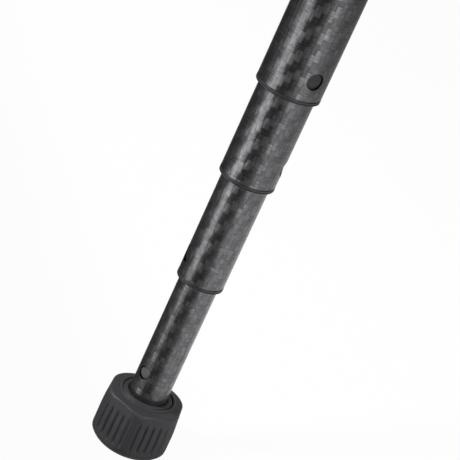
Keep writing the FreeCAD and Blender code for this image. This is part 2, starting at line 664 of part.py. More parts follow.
def ball_stem():
    """Ball, its neck and the disc that carries the clamp."""
    centre = UP * BALL_HEIGHT
    ball = Part.makeSphere(BALL_RADIUS, centre)
    neck = rod(STEM_RADIUS, BALL_HEIGHT + BALL_RADIUS / 2, CLAMP_BOTTOM - BOND)
    disc = rod(STEM_DISC_RADIUS, CLAMP_BOTTOM - STEM_DISC_HEIGHT, CLAMP_BOTTOM - BOND)
    return ball.fuse(neck).fuse(disc).removeSplitter()


def ball_knob():
    """Knob whose screw tip stops just short of the ball."""
    knob = fluted_knob(BALL_KNOB_RADIUS, BALL_KNOB_LENGTH, KNOB_FLUTES, KNOB_FLUTE_RADIUS,
                       KNOB_FLUTE_DEPTH, EDGE_BREAK)
    start = HOUSING_RADIUS + STOP
    screw = rod(BALL_SCREW_RADIUS, BALL_RADIUS + STOP - start, BALL_KNOB_LENGTH / 2)
    return laid(knob.fuse(screw), NORTH, Vector(0, start, BALL_HEIGHT - BALL_KNOB_DROP))


JAW_INNER = PLATE_WIDTH / 2 + GUIDE
JAW_OUTER = JAW_INNER + JAW_THICKNESS
JAW_TOP = PLATE_BOTTOM + PLATE_HEIGHT - PLATE_TOP_THICKNESS - JAW_LIP_DROP
PLATE_BEVEL = PLATE_BOTTOM + PLATE_FOOT_THICKNESS
CLAMP_SCREW_HEIGHT = CLAMP_BOTTOM + CLAMP_FLOOR / 2


def extruded_along_x(points, length):
    """Bar along X, centred, from a closed outline of (y, z) points."""
    outline = [Vector(-length / 2, y, z) for y, z in points]
    return Part.Face(Part.makePolygon(outline + outline[:1])).extrude(EAST * length)


def jaw_bar():
    """Clamp jaw on the +Y side, with the bevelled lip that holds the plate down."""
    waist = JAW_INNER - PLATE_WAIST_STEP
    return extruded_along_x([
        (JAW_INNER, CLAMP_BOTTOM),
        (JAW_OUTER, CLAMP_BOTTOM),
        (JAW_OUTER, JAW_TOP),
        (waist, JAW_TOP),
        (waist, PLATE_BEVEL + PLATE_WAIST_STEP),
        (JAW_INNER, PLATE_BEVEL),
    ], CLAMP_LENGTH)


def along_jaw(x):
    """Point on the moving jaw's outer side at the height of its screw and pins."""
    return Vector(x, -JAW_OUTER, CLAMP_SCREW_HEIGHT)


def clamp_body():
    """Clamp floor with its fixed jaw, bored for the moving jaw's pins and screw."""
    floor = block(Vector(-CLAMP_LENGTH / 2, -JAW_INNER + GUIDE, CLAMP_BOTTOM),
                  Vector(CLAMP_LENGTH / 2, JAW_OUTER, CLAMP_BOTTOM + CLAMP_FLOOR))
    body = floor.fuse(jaw_bar()).removeSplitter()
    depth = JAW_THICKNESS + GUIDE
    for side in (-1, 1):
        hole = rod(JAW_PIN_RADIUS + RUNNING, 0, depth + JAW_PIN_LENGTH + FREE)
        body = body.cut(laid(hole, NORTH, along_jaw(side * JAW_PIN_SPACING / 2)))
    screw_hole = rod(CLAMP_SCREW_RADIUS + RUNNING, 0, depth + CLAMP_SCREW_IN_BODY + FREE)
    return body.cut(laid(screw_hole, NORTH, along_jaw(0)))


def clamp_jaw():
    """Moving jaw with its two guide pins."""
    jaw = jaw_bar().mirror(HERE, NORTH)
    for side in (-1, 1):
        pin = rod(JAW_PIN_RADIUS, JAW_THICKNESS / 2, JAW_THICKNESS + JAW_PIN_LENGTH)
        jaw = jaw.fuse(laid(pin, NORTH, along_jaw(side * JAW_PIN_SPACING / 2)))
    screw_hole = rod(CLAMP_SCREW_RADIUS + RUNNING, -OVERCUT, JAW_THICKNESS + OVERCUT)
    return jaw.cut(laid(screw_hole, NORTH, along_jaw(0)))


def clamp_knob():
    """Knob and screw that draw the moving jaw in."""
    knob = fluted_knob(CLAMP_KNOB_RADIUS, CLAMP_KNOB_LENGTH, KNOB_FLUTES, KNOB_FLUTE_RADIUS,
                       KNOB_FLUTE_DEPTH, EDGE_BREAK)
    knob = lifted(knob, -CLAMP_KNOB_LENGTH - FREE)
    screw = rod(CLAMP_SCREW_RADIUS, -CLAMP_KNOB_LENGTH / 2, JAW_THICKNESS + CLAMP_SCREW_IN_BODY)
    return laid(knob.fuse(screw), NORTH, along_jaw(0))


def quick_plate():
    """Plate under the camera, with bevelled sides and a pocket for the screw's head."""
    half = PLATE_WIDTH / 2
    waist = half - PLATE_WAIST_STEP
    slab_bottom = PLATE_BOTTOM + PLATE_HEIGHT - PLATE_TOP_THICKNESS
    right = [(half, PLATE_BOTTOM), (half, PLATE_BEVEL), (waist, PLATE_BEVEL + PLATE_WAIST_STEP),
             (waist, slab_bottom + PLATE_TOP_THICKNESS / 2)]
    left = [(-y, z) for y, z in reversed(right)]
    rail = extruded_along_x(right + left, PLATE_LENGTH - 2 * PLATE_CORNER)
    slab = rounded_block(Vector(-PLATE_LENGTH / 2, -half, slab_bottom),
                         Vector(PLATE_LENGTH / 2, half, SEAT_HEIGHT), PLATE_CORNER, UP)
    pocket = rod(SCREW_HEAD_RADIUS + FREE, PLATE_BOTTOM - OVERCUT, slab_bottom)
    hole = rod(SCREW_SHANK_RADIUS + GUIDE, PLATE_BOTTOM, SEAT_HEIGHT + OVERCUT)
    # wider than the thread at the top, so that a camera lies flat on the plate
    mouth = rod(SCREW_RADIUS + FREE, SEAT_HEIGHT - SCREW_MOUTH_DEPTH, SEAT_HEIGHT + OVERCUT)
    return rail.fuse(slab).removeSplitter().cut(pocket).cut(hole).cut(mouth)


def camera_screw():
    """Captive screw: a head with a coin slot, a plain shank and the threaded end above the plate."""
    head_top = PLATE_BOTTOM + PLATE_HEIGHT - PLATE_TOP_THICKNESS - FREE
    head = rod(SCREW_HEAD_RADIUS, head_top - SCREW_HEAD_HEIGHT, head_top)
    slot_roof = head_top - SCREW_HEAD_HEIGHT + COIN_SLOT_DEPTH
    slot = block(Vector(-SCREW_HEAD_RADIUS, -COIN_SLOT_WIDTH / 2, PLATE_BOTTOM),
                 Vector(SCREW_HEAD_RADIUS, COIN_SLOT_WIDTH / 2, slot_roof))
    shank = rod(SCREW_SHANK_RADIUS, head_top, SEAT_HEIGHT + OVERCUT)
    thread = rod(SCREW_RADIUS, SEAT_HEIGHT + RUNNING, SEAT_HEIGHT + SCREW_STANDS)
    thread = thread.makeChamfer(SCREW_CHAMFER, edges_at(thread, SEAT_HEIGHT + SCREW_STANDS))
    return head.cut(slot).fuse(shank).fuse(thread).removeSplitter()


# The whole tripod

def on_leg(solid, number):
    """Copy of a leg piece, spread and set on the crown."""
    placed = solid.copy()
    placed.rotate(HERE, NORTH, -LEG_SPREAD)
    placed.translate(EAST * PIVOT_RADIUS)
    placed.rotate(HERE, UP, leg_azimuth(number))
    return placed


def leg_pieces():
    """Every piece of one leg by name, in the leg's upright frame."""
    pieces = {"hinge_block": hinge_block(), "angle_latch": angle_latch()}
    for section in (1, 2, 3, 4):
        pieces[f"tube_{section}"] = leg_tube(section)
    for section in (1, 2, 3):
        pieces[f"end_sleeve_{section}"] = end_sleeve(section)
    for section in (2, 3):
        pieces[f"lock_{section}"] = Part.makeCompound([lock_plug(section), expander(section)])
    pieces["expander_4"] = expander(4)
    pieces["plug_4"] = lock_plug(4)
    pieces["foot_core"] = at_leg_end(foot_core())
    pieces["foot_rubber"] = at_leg_end(turned(foot_rubber(), FOOT_TURN))
    return pieces


def all_pieces():
    """Every piece by node name, in the crown's frame."""
    legs = range(1, LEG_COUNT + 1)
    pieces = {
        "crown": crown(),
        "leg_pivot_bolts": Part.makeCompound([turned(pivot_bolt(), leg_azimuth(n)) for n in legs]),
        "column_bushing": column_bushing(),
        "column_collar": column_collar(),
        "column_tube": column_tube(),
        "ballast_hook": ballast_hook(),
        "head_base": head_base(),
        "ball_housing": ball_housing(),
        "ball_stem": ball_stem(),
        "ball_knob": ball_knob(),
        "clamp_body": clamp_body(),
        "clamp_jaw": clamp_jaw(),
        "clamp_knob": clamp_knob(),
        "quick_plate": quick_plate(),
        "camera_screw": camera_screw(),
    }
    upright = leg_pieces()
    for number in legs:
        for name, solid in upright.items():
            pieces[f"leg_{number}_{name}"] = on_leg(solid, number)
    return pieces


def main():
    os.makedirs("parts", exist_ok=True)
    for name, solid in all_pieces().items():
        lifted(solid, -SEAT_HEIGHT).exportStep(f"parts/{name}.step")
    for section in (2, 3, 4):
        print(f"tube {section} slides out by {stroke(section):.1f} mm")


if __name__ == "__main__":
    main()
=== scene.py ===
import json
from collections import namedtuple
from math import atan2, cos, degrees, pi, radians, sin, sqrt, tan

import bmesh
import bpy
import numpy as np
from bpy.props import FloatProperty, FloatVectorProperty, PointerProperty
from mathutils import Matrix, Vector

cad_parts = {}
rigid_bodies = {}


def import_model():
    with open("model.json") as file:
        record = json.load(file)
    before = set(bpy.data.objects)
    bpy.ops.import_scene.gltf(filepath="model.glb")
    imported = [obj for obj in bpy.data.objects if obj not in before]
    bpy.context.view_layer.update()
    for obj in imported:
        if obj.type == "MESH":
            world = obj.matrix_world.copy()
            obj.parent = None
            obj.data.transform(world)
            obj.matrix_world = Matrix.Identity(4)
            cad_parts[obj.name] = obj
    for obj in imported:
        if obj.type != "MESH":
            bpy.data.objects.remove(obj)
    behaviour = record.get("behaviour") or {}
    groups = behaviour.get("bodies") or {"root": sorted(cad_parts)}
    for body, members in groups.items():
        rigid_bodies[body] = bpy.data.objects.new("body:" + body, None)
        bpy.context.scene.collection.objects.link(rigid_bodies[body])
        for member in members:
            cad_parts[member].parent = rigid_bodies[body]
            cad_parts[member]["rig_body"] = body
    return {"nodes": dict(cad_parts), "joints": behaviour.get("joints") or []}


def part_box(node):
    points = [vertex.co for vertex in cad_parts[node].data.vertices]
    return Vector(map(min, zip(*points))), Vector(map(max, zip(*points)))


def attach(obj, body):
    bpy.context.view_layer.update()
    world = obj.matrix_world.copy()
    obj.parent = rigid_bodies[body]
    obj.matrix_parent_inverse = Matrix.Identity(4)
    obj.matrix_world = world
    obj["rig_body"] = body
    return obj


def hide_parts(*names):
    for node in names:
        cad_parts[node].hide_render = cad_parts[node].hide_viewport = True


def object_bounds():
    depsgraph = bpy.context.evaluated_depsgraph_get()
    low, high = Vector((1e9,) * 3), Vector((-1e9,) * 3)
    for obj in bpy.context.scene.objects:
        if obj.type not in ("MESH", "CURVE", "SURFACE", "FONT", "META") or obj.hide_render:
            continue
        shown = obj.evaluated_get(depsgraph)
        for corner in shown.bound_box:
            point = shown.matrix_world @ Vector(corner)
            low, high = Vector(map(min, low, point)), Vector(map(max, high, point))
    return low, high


# Finishes and mesh pieces of a camera tripod: carbon legs, rubber feet, a metal crown, column and head.
# Metres, +Z up, in the tripod's own frame. Each leg also has a frame of its own: out from the column,
# round it, and down the leg from its pivot.

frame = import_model()
cad_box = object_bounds()

bl_info = {
    "name": "Camera Tripod Finishes",
    "version": (1, 0, 0),
    "blender": (4, 5, 0),
    "location": "3D View > Sidebar > Tripod",
    "description": "Weaves the carbon and finishes the feet, lips and metal of a camera tripod",
    "category": "Object",
}

MM = 0.001
JOINTS = {joint["name"]: joint for joint in frame["joints"]}


# Places taken from the frame

def placement(origin, *axes):
    """Matrix that puts a shape at an origin, along these X, Y and Z axes."""
    return Matrix.Translation(origin) @ Matrix(axes).transposed().to_4x4()


class LegFrame:
    """Where one leg stands: its pivot, and its directions down, out from the column and round it."""

    def __init__(self, number):
        self.prefix = f"leg_{number}_"
        self.pivot = Vector(JOINTS[self.prefix + "swing"]["pos_m"])
        self.down = Vector(JOINTS[self.prefix + "slide_2"]["axis"]).normalized()
        self.out = Vector(JOINTS[self.prefix + "latch_pull"]["axis"]).normalized()
        self.across = self.out.cross(self.down)
        self.axes = (self.out, self.across, -self.down)

    def matrix(self, depth=0.0):
        """Placement whose Z axis runs up the leg, with its origin this far below the pivot."""
        return placement(self.pivot + self.down * depth, *self.axes)

    def measured(self, node):
        """Distance from the leg's axis, depth below the pivot and turn round it of each vertex of a node."""
        x, y, height = np.array(self.axes) @ (node_points(node) - np.array(self.pivot)).T
        return np.hypot(x, y), -height, np.arctan2(y, x)


def node_points(node):
    """Vertices of a CAD node as an array."""
    mesh = frame["nodes"][node].data
    points = np.zeros(len(mesh.vertices) * 3)
    mesh.vertices.foreach_get("co", points)
    return points.reshape(-1, 3)


def body_of_node(node):
    """The body that a CAD node rides on."""
    return frame["nodes"][node]["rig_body"]


LEGS = [LegFrame(number) for number in (1, 2, 3)]


# Settings that a user would change

class TripodCarbon(bpy.types.PropertyGroup):
    tow_width: FloatProperty(
        name="Tow Width", description="Width of one flat bundle of fibres in the weave",
        default=2.1 * MM, min=0.5 * MM, max=6.0 * MM, unit="LENGTH", precision=5)
    length_colour: FloatVectorProperty(
        name="Lengthwise Fibre", description="Colour of the bundles that run along the tube",
        default=(0.165, 0.165, 0.171), min=0.0, max=1.0, subtype="COLOR")
    hoop_colour: FloatVectorProperty(
        name="Hoop Fibre", description="Colour of the bundles that run round the tube",
        default=(0.145, 0.145, 0.151), min=0.0, max=1.0, subtype="COLOR")
    resin_colour: FloatVectorProperty(
        name="Resin", description="Colour of the resin between the bundles",
        default=(0.118, 0.118, 0.121), min=0.0, max=1.0, subtype="COLOR")
    relief: FloatProperty(
        name="Relief", description="Height of the weave under the lacquer",
        default=0.02 * MM, min=0.0, max=0.5 * MM, unit="LENGTH", precision=5)


class TripodRubber(bpy.types.PropertyGroup):
    colour: FloatVectorProperty(
        name="Rubber", description="Colour of the moulded feet",
        default=(0.021, 0.021, 0.0235), min=0.0, max=1.0, subtype="COLOR")
    groove_depth: FloatProperty(
        name="Groove Depth", description="Depth of the shallow grooves on the foot's sides",
        default=0.60 * MM, min=0.0, max=1.0 * MM, unit="LENGTH", precision=5)
    edge_softness: FloatProperty(
        name="Edge Softness", description="How softly the moulded faces run into each other",
        default=0.9 * MM, min=0.05 * MM, max=3.0 * MM, unit="LENGTH", precision=5)


class TripodMetal(bpy.types.PropertyGroup):
    anodised_colour: FloatVectorProperty(
        name="Anodised Black", description="Colour of the anodised crown, column fittings and head",
        default=(0.022, 0.022, 0.025), min=0.0, max=1.0, subtype="COLOR")
    bare_colour: FloatVectorProperty(
        name="Bare Aluminium", description="Colour of the ball and the angle latches",
        default=(0.42, 0.42, 0.43), min=0.0, max=1.0, subtype="COLOR")
    steel_colour: FloatVectorProperty(
        name="Steel", description="Colour of the bolts and the camera screw",
        default=(0.56, 0.56, 0.57), min=0.0, max=1.0, subtype="COLOR")
    edge_width: FloatProperty(
        name="Edge Width", description="Width of the soft broken edge on machined pieces",
        default=0.35 * MM, min=0.05 * MM, max=2.0 * MM, unit="LENGTH", precision=5)


class TripodPlastic(bpy.types.PropertyGroup):
    colour: FloatVectorProperty(
        name="Plastic", description="Colour of the lip rings, snap buttons and inner locks",
        default=(0.014, 0.014, 0.0155), min=0.0, max=1.0, subtype="COLOR")
    button_dome: FloatProperty(
        name="Button Dome", description="How far a snap button's face bulges in its middle",
        default=0.12 * MM, min=0.0, max=1.0 * MM, unit="LENGTH", precision=5)


class TripodStage(bpy.types.PropertyGroup):
    floor_colour: FloatVectorProperty(
        name="Floor", description="Colour of the studio floor",
        default=(0.045, 0.045, 0.045), min=0.0, max=1.0, subtype="COLOR")
    camera_elevation: FloatProperty(
        name="Camera Elevation", description="How far the camera looks down",
        default=radians(26.08), min=0.0, max=radians(89.0), subtype="ANGLE")
    camera_distance: FloatProperty(
        name="Camera Distance", description="From the camera to the point it looks at",
        default=0.6357, min=0.1, max=10.0, unit="LENGTH")
    lens: FloatProperty(
        name="Lens", description="Focal length of the camera in millimetres",
        default=138.68, min=10.0, max=500.0)
    left_light: FloatProperty(
        name="Left Light", description="Power of the soft box on the left in watts",
        default=2.9, min=0.0, max=500.0)
    right_light: FloatProperty(
        name="Right Light", description="Power of the soft box on the right in watts",
        default=5.5, min=0.0, max=500.0)
    top_light: FloatProperty(
        name="Top Light", description="Power of the soft box up on the left in watts",
        default=26.0, min=0.0, max=500.0)


SETTINGS = {
    "tripod_carbon": TripodCarbon,
    "tripod_rubber": TripodRubber,
    "tripod_metal": TripodMetal,
    "tripod_plastic": TripodPlastic,
    "tripod_stage": TripodStage,
}


# Shader nodes

# for each kind of mix, the number of its low input and of its output
MIX_SOCKETS = {"FLOAT": (2, 0), "VECTOR": (4, 1), "RGBA": (6, 2)}
# cosine between the softened and the flat normal where an edge begins and where it is full
EDGE_BEGINS = 0.995
EDGE_FULL = 0.90


class Finish:
    """A material or world being wired. A value is a number, a colour or the socket of another node."""

    def __init__(self, owner):
        owner.use_nodes = True
        self.owner = owner
        self.tree = owner.node_tree
        self.tree.nodes.clear()
        kind = "World" if isinstance(owner, bpy.types.World) else "Material"
        self.output = self.tree.nodes.new("ShaderNodeOutput" + kind)

    def put(self, socket, value):
        """Joins a socket to another, or sets it."""
        if isinstance(value, bpy.types.NodeSocket):
            self.tree.links.new(value, socket)
        elif hasattr(value, "__len__") and len(value) == 3 and socket.type == "RGBA":
            socket.default_value = (*value, 1.0)
        else:
            socket.default_value = value

    def node(self, kind, inputs=(), **settings):
        """A new node with its settings and its inputs in order."""
        made = self.tree.nodes.new(kind)
        for name, value in settings.items():
            setattr(made, name, value)
        for index, value in enumerate(inputs):
            self.put(made.inputs[index], value)
        return made

    def wired(self, kind, **sockets):
        """A new node with its inputs by name."""
        made = self.tree.nodes.new(kind)
        for name, value in sockets.items():
            self.put(made.inputs[name.replace("_", " ")], value)
        return made

    def math(self, operation, *values):
        return self.node("ShaderNodeMath", values, operation=operation).outputs[0]

    def times(self, a, b):
        return self.math("MULTIPLY", a, b)

    def vector(self, operation, *values):
        made = self.node("ShaderNodeVectorMath", values, operation=operation)
        return made.outputs["Value" if operation in ("DOT_PRODUCT", "LENGTH") else "Vector"]

    def combined(self, x, y, z):
        return self.node("ShaderNodeCombineXYZ", (x, y, z)).outputs[0]

    def between(self, factor, low, high):
        """Number from low to high, by a factor kept within 0 to 1."""
        return self.node("ShaderNodeMapRange", (factor, 0.0, 1.0, low, high)).outputs[0]

    def stepped(self, value, start, end):
        """0 before start, 1 after end, smooth between."""
        return self.node("ShaderNodeMapRange", (value, start, end, 0.0, 1.0),
                         interpolation_type="SMOOTHSTEP").outputs[0]

    def mixed(self, factor, low, high, kind="FLOAT"):
        """Value from low to high, by a factor from 0 to 1."""
        made = self.node("ShaderNodeMix", data_type=kind)
        low_input, output = MIX_SOCKETS[kind]
        self.put(made.inputs[0], factor)
        self.put(made.inputs[low_input], low)
        self.put(made.inputs[low_input + 1], high)
        return made.outputs[output]

    def coloured(self, factor, low, high):
        """Colour from low to high, by a factor from 0 to 1."""
        return self.mixed(factor, low, high, "RGBA")

    def noise(self, place, scale, detail=3.0, roughness=0.5):
        return self.wired("ShaderNodeTexNoise", Vector=place, Scale=scale, Detail=detail,
                          Roughness=roughness).outputs["Fac"]

    def object_place(self):
        return self.node("ShaderNodeTexCoord").outputs["Object"]

    def bumped(self, height, distance, strength=1.0, normal=None):
        made = self.wired("ShaderNodeBump", Strength=strength, Distance=distance, Height=height)
        if normal is not None:
            self.put(made.inputs["Normal"], normal)
        return made.outputs[0]

    def edge(self, width):
        """Normal with softened edges, and a mask that is 1 on the edges."""
        soft = self.node("ShaderNodeBevel", samples=4)
        self.put(soft.inputs["Radius"], width)
        flat = self.node("ShaderNodeNewGeometry").outputs["True Normal"]
        facing = self.vector("DOT_PRODUCT", soft.outputs[0], flat)
        return soft.outputs[0], self.stepped(facing, EDGE_BEGINS, EDGE_FULL)

    def surface(self, **sockets):
        """The shader that the finish ends in, with its sockets by name."""
        shader = self.wired("ShaderNodeBsdfPrincipled", **sockets)
        self.put(self.output.inputs["Surface"], shader.outputs[0])
        return self.owner


def new_finish(name):
    return Finish(bpy.data.materials.new(name))


# Finishes

TOW_ROUNDNESS = 2.6
# tows to each repeat of the twill, half of which a float passes over
TWILL_REPEAT = 4
WANDER_SCALE = 0.35
WANDER = 0.35
# how finely the fibre grain is drawn across and along a tow, and how far it stands out of the weave
GRAIN_ACROSS = 3.8
GRAIN_ALONG = 0.6
GRAIN_RELIEF = 0.45
GRAIN_TONE = (0.10, 1.90)
TOW_TONE = (0.82, 1.16)
RESIN_SHOWS = (0.02, 0.35)
SKIN_START = 0.06 * MM
SKIN_END = 0.02 * MM
BARE_RESIN = (0.004, 0.004, 0.004)
EDGE_PALER = 2.4
EDGE_LIFT = 0.02


def dome(finish, share):
    """0 at both ends of a share that runs from 0 to 1, and 1 in its middle."""
    side = finish.math("MULTIPLY_ADD", share, 2.0, -1.0)
    steep = finish.math("POWER", finish.math("ABSOLUTE", side), TOW_ROUNDNESS)
    return finish.math("SUBTRACT", 1.0, steep)


def twill_carbon(name, start, axes, radius, settings):
    """Lacquered two-over-two twill round a tube. Start is on its axis, axes are out, across and along."""
    finish = new_finish(name)
    out, across, along = axes
    place = finish.vector("SUBTRACT", finish.object_place(), start)
    x = finish.vector("DOT_PRODUCT", place, out)
    y = finish.vector("DOT_PRODUCT", place, across)
    length = finish.vector("DOT_PRODUCT", place, along)
    turn = finish.math("ARCTAN2", y, x)

    tows = TWILL_REPEAT * round(2 * pi * radius / settings.tow_width / TWILL_REPEAT)
    round_cell = finish.times(turn, tows / (2 * pi))
    along_cell = finish.math("DIVIDE", length, settings.tow_width)
    # the bundles wander a little, as laid cloth does
    wander = finish.noise(finish.combined(round_cell, along_cell, 0.0), WANDER_SCALE, detail=2.0)
    round_cell = finish.math("MULTIPLY_ADD", wander, WANDER, round_cell)
    along_cell = finish.math("MULTIPLY_ADD", wander, -WANDER, along_cell)
    column = finish.math("FLOOR", round_cell)
    row = finish.math("FLOOR", along_cell)
    in_column = finish.math("FRACT", round_cell)
    in_row = finish.math("FRACT", along_cell)
    step = finish.math("FLOORED_MODULO", finish.math("SUBTRACT", row, column), float(TWILL_REPEAT))
    lengthwise = finish.math("LESS_THAN", step, TWILL_REPEAT / 2 - 0.5)

    # share of the way along a float, which passes over two tows
    along_float = finish.times(finish.math("ADD", step, in_row), 0.5)
    hoop_step = finish.math("SUBTRACT", step, TWILL_REPEAT / 2)
    round_float = finish.times(finish.math("ADD", hoop_step, in_column), 0.5)
    length_height = finish.times(dome(finish, along_float), dome(finish, in_column))
    hoop_height = finish.times(dome(finish, round_float), dome(finish, in_row))
    height = finish.mixed(lengthwise, hoop_height, length_height)

    def grain(round_scale, along_scale, layer):
        cell = finish.combined(finish.times(round_cell, round_scale),
                               finish.times(along_cell, along_scale), layer)
        return finish.noise(cell, 1.0)

    # fine fibres along each bundle, and a shade of its own for each crossing
    fibre = finish.mixed(lengthwise, grain(GRAIN_ALONG, GRAIN_ACROSS, 4.0),
                         grain(GRAIN_ACROSS, GRAIN_ALONG, 0.0))
    shade = finish.node("ShaderNodeTexWhiteNoise", noise_dimensions="2D")
    finish.put(shade.inputs["Vector"], finish.combined(column, row, 0.0))
    tone = finish.times(finish.between(shade.outputs["Value"], *TOW_TONE),
                       finish.between(fibre, *GRAIN_TONE))

    bundle = finish.coloured(lengthwise, settings.hoop_colour, settings.length_colour)
    toned = finish.node("ShaderNodeVectorMath", (bundle,), operation="SCALE")
    finish.put(toned.inputs["Scale"], tone)
    covered = finish.stepped(height, *RESIN_SHOWS)
    woven = finish.coloured(covered, settings.resin_colour, toned.outputs[0])
    # the wall's inside, its ends and the edges of its holes are bare black resin
    wide = finish.vector("LENGTH", finish.combined(x, y, 0.0))
    skin = finish.stepped(wide, radius - SKIN_START, radius - SKIN_END)
    colour = finish.coloured(skin, BARE_RESIN, woven)

    # a bundle's highlight spreads across its fibres
    to_world = {"vector_type": "VECTOR", "convert_from": "OBJECT", "convert_to": "WORLD"}
    along_world = finish.node("ShaderNodeVectorTransform", (along,), **to_world).outputs[0]
    normal = finish.node("ShaderNodeNewGeometry").outputs["Normal"]
    round_world = finish.vector("CROSS_PRODUCT", along_world, normal)
    spread = finish.mixed(lengthwise, along_world, round_world, "VECTOR")
    relief = finish.math("ADD", height, finish.times(fibre, GRAIN_RELIEF))
    return finish.surface(
        Base_Color=colour, Metallic=0.92, Roughness=0.35, Anisotropic=0.61, Tangent=spread,
        Normal=finish.bumped(relief, settings.relief),
        Coat_Weight=0.30, Coat_Roughness=0.22, Coat_IOR=1.40)


def scaled(colour, factor):
    return tuple(factor * c for c in colour)


def moulded_rubber(settings, name="moulded_rubber"):
    """Matt black rubber with a fine moulded grain and paler worn edges."""
    finish = new_finish(name)
    place = finish.object_place()
    grain = finish.noise(place, 5200.0, detail=2.0, roughness=0.6)
    cloud = finish.noise(place, 160.0)
    worn = finish.edge(width=0.5 * MM)[1]
    dust = finish.math("MULTIPLY_ADD", worn, 0.12, finish.times(cloud, 0.30))
    return finish.surface(
        Base_Color=finish.coloured(dust, settings.colour, scaled(settings.colour, 1.9)),
        Roughness=finish.between(grain, 0.50, 0.66), IOR=1.48,
        Normal=finish.bumped(grain, 0.05 * MM, strength=0.5),
        Sheen_Weight=0.15, Sheen_Roughness=0.4)


def anodised_metal(name, settings, roughness=0.38, colour=None):
    """Bead-blasted and anodised aluminium, a little paler along its edges."""
    finish = new_finish(name)
    place = finish.object_place()
    blast = finish.noise(place, 6500.0, detail=2.0, roughness=0.7)
    cloud = finish.noise(place, 90.0)
    softened, worn = finish.edge(settings.edge_width)
    base = colour or settings.anodised_colour
    pale = tuple(min(1.0, EDGE_PALER * c + EDGE_LIFT) for c in base)
    tint = finish.math("MULTIPLY_ADD", worn, 0.75, finish.times(cloud, 0.16))
    return finish.surface(
        Base_Color=finish.coloured(tint, base, pale), Metallic=0.55,
        Roughness=finish.between(blast, roughness - 0.06, roughness + 0.10),
        Normal=finish.bumped(blast, 0.03 * MM, 0.5, normal=softened))


def turned_metal(name, colour, settings, roughness=0.27):
    """Bare metal with fine turning marks round the column's axis."""
    finish = new_finish(name)
    place = finish.object_place()
    marks = finish.noise(finish.vector("MULTIPLY", place, (300.0, 300.0, 9000.0)), 1.0)
    cloud = finish.noise(place, 120.0)
    softened = finish.edge(settings.edge_width)[0]
    dulling = finish.times(cloud, 0.8)
    return finish.surface(
        Base_Color=finish.coloured(dulling, colour, scaled(colour, 0.78)), Metallic=1.0,
        Roughness=finish.between(marks, roughness - 0.07, roughness + 0.10),
        Normal=finish.bumped(marks, 0.02 * MM, 0.5, normal=softened))


def moulded_plastic(name, colour, roughness=0.42):
    """Black plastic with a fine spark-eroded grain."""
    finish = new_finish(name)
    place = finish.object_place()
    grain = finish.noise(place, 4200.0, detail=2.0, roughness=0.6)
    cloud = finish.noise(place, 200.0, detail=2.0)
    return finish.surface(
        Base_Color=finish.coloured(cloud, colour, scaled(colour, 1.5)),
        Roughness=finish.between(grain, roughness - 0.05, roughness + 0.08), IOR=1.49,
        Normal=finish.bumped(grain, 0.03 * MM, strength=0.4))


def coat(node, material):
    """Gives a CAD node one finish, and returns its mesh."""
    mesh = frame["nodes"][node].data
    mesh.materials.clear()
    mesh.materials.append(material)
    return mesh


# Meshes

CORNER_STEPS = 4
# greatest share of a side that an arc takes
LONGEST_ARC = 0.49


def add_object(name, data):
    """A new object in the scene."""
    made = bpy.data.objects.new(name, data)
    bpy.context.scene.collection.objects.link(made)
    return made


def new_piece(name, fill, material, smooth_angle=40.0):
    """Object from a mesh that fill makes, smooth except at its sharp edges."""
    mesh = bpy.data.meshes.new(name)
    shape = bmesh.new()
    fill(shape)
    bmesh.ops.recalc_face_normals(shape, faces=shape.faces)
    shape.to_mesh(mesh)
    shape.free()
    mesh.shade_smooth()
    mesh.set_sharp_from_angle(angle=radians(smooth_angle))
    mesh.materials.append(material)
    return add_object(name, mesh)


def join_rings(shape, rings):
    """Faces from each ring of points to the next one."""
    for ring, following in zip(rings, rings[1:]):
        for index in range(len(ring)):
            after = (index + 1) % len(ring)
            shape.faces.new((ring[index], ring[after], following[after], following[index]))


def close_ring(shape, ring, tip):
    """Faces from a ring of points to a new point at its tip."""
    tip = shape.verts.new(tip)
    for index in range(len(ring)):
        shape.faces.new((ring[index - 1], ring[index], tip))


def turned_point(radius, angle, height):
    return Vector((radius * cos(angle), radius * sin(angle), height))


def softened_outline(corners):
    """Closed outline from (radius, height, corner radius) points, with an arc at each rounded corner."""
    points = []
    count = len(corners)
    for index, (radius, height, rounding) in enumerate(corners):
        here = Vector((radius, height))
        if rounding <= 0:
            points.append(here)
            continue
        before = Vector(corners[index - 1][:2]) - here
        after = Vector(corners[(index + 1) % count][:2]) - here
        half = before.angle(after) / 2
        reach = min(rounding / tan(half), LONGEST_ARC * before.length, LONGEST_ARC * after.length)
        start = here + before.normalized() * reach
        end = here + after.normalized() * reach
        for step in range(CORNER_STEPS + 1):
            share = step / CORNER_STEPS
            points.append(start * (1 - share) ** 2 + here * 2 * share * (1 - share) + end * share ** 2)
    return points


def turned_rings(shape, outline, place, segments):
    """Copies of an outline of (radius, height) points at even steps about the placement's Z axis."""
    angles = [2 * pi * step / segments for step in range(segments)]
    return [[shape.verts.new(place @ turned_point(p.x, angle, p.y)) for p in outline] for angle in angles]


def turned_ring(name, outline, place, segments, material, smooth_angle):
    """Piece turned from a closed outline that stays clear of the axis."""
    def fill(shape):
        rings = turned_rings(shape, outline, place, segments)
        join_rings(shape, rings + rings[:1])
    return new_piece(name, fill, material, smooth_angle)


# Lip rings, guide sleeves and snap buttons

LIP_GROOVE = 0.36 * MM
LIP_GROOVE_ROUND = 0.05 * MM
LIP_BAND = 0.62 * MM
LIP_BAND_ROUND = 0.12 * MM
LIP_END_ROUND = 0.45 * MM
SLEEVE_SLACK = 0.03 * MM
SLEEVE_STEP = 0.02 * MM
SLEEVE_ROUND = 0.3 * MM
SLEEVE_CHAMFER = 0.25 * MM
CHAMFER_ROUND = 0.1 * MM
LIP_SEGMENTS = 128
BUTTON_SEGMENTS = 64
BUTTON_RINGS = 8
BUTTON_EDGE = 0.25 * MM
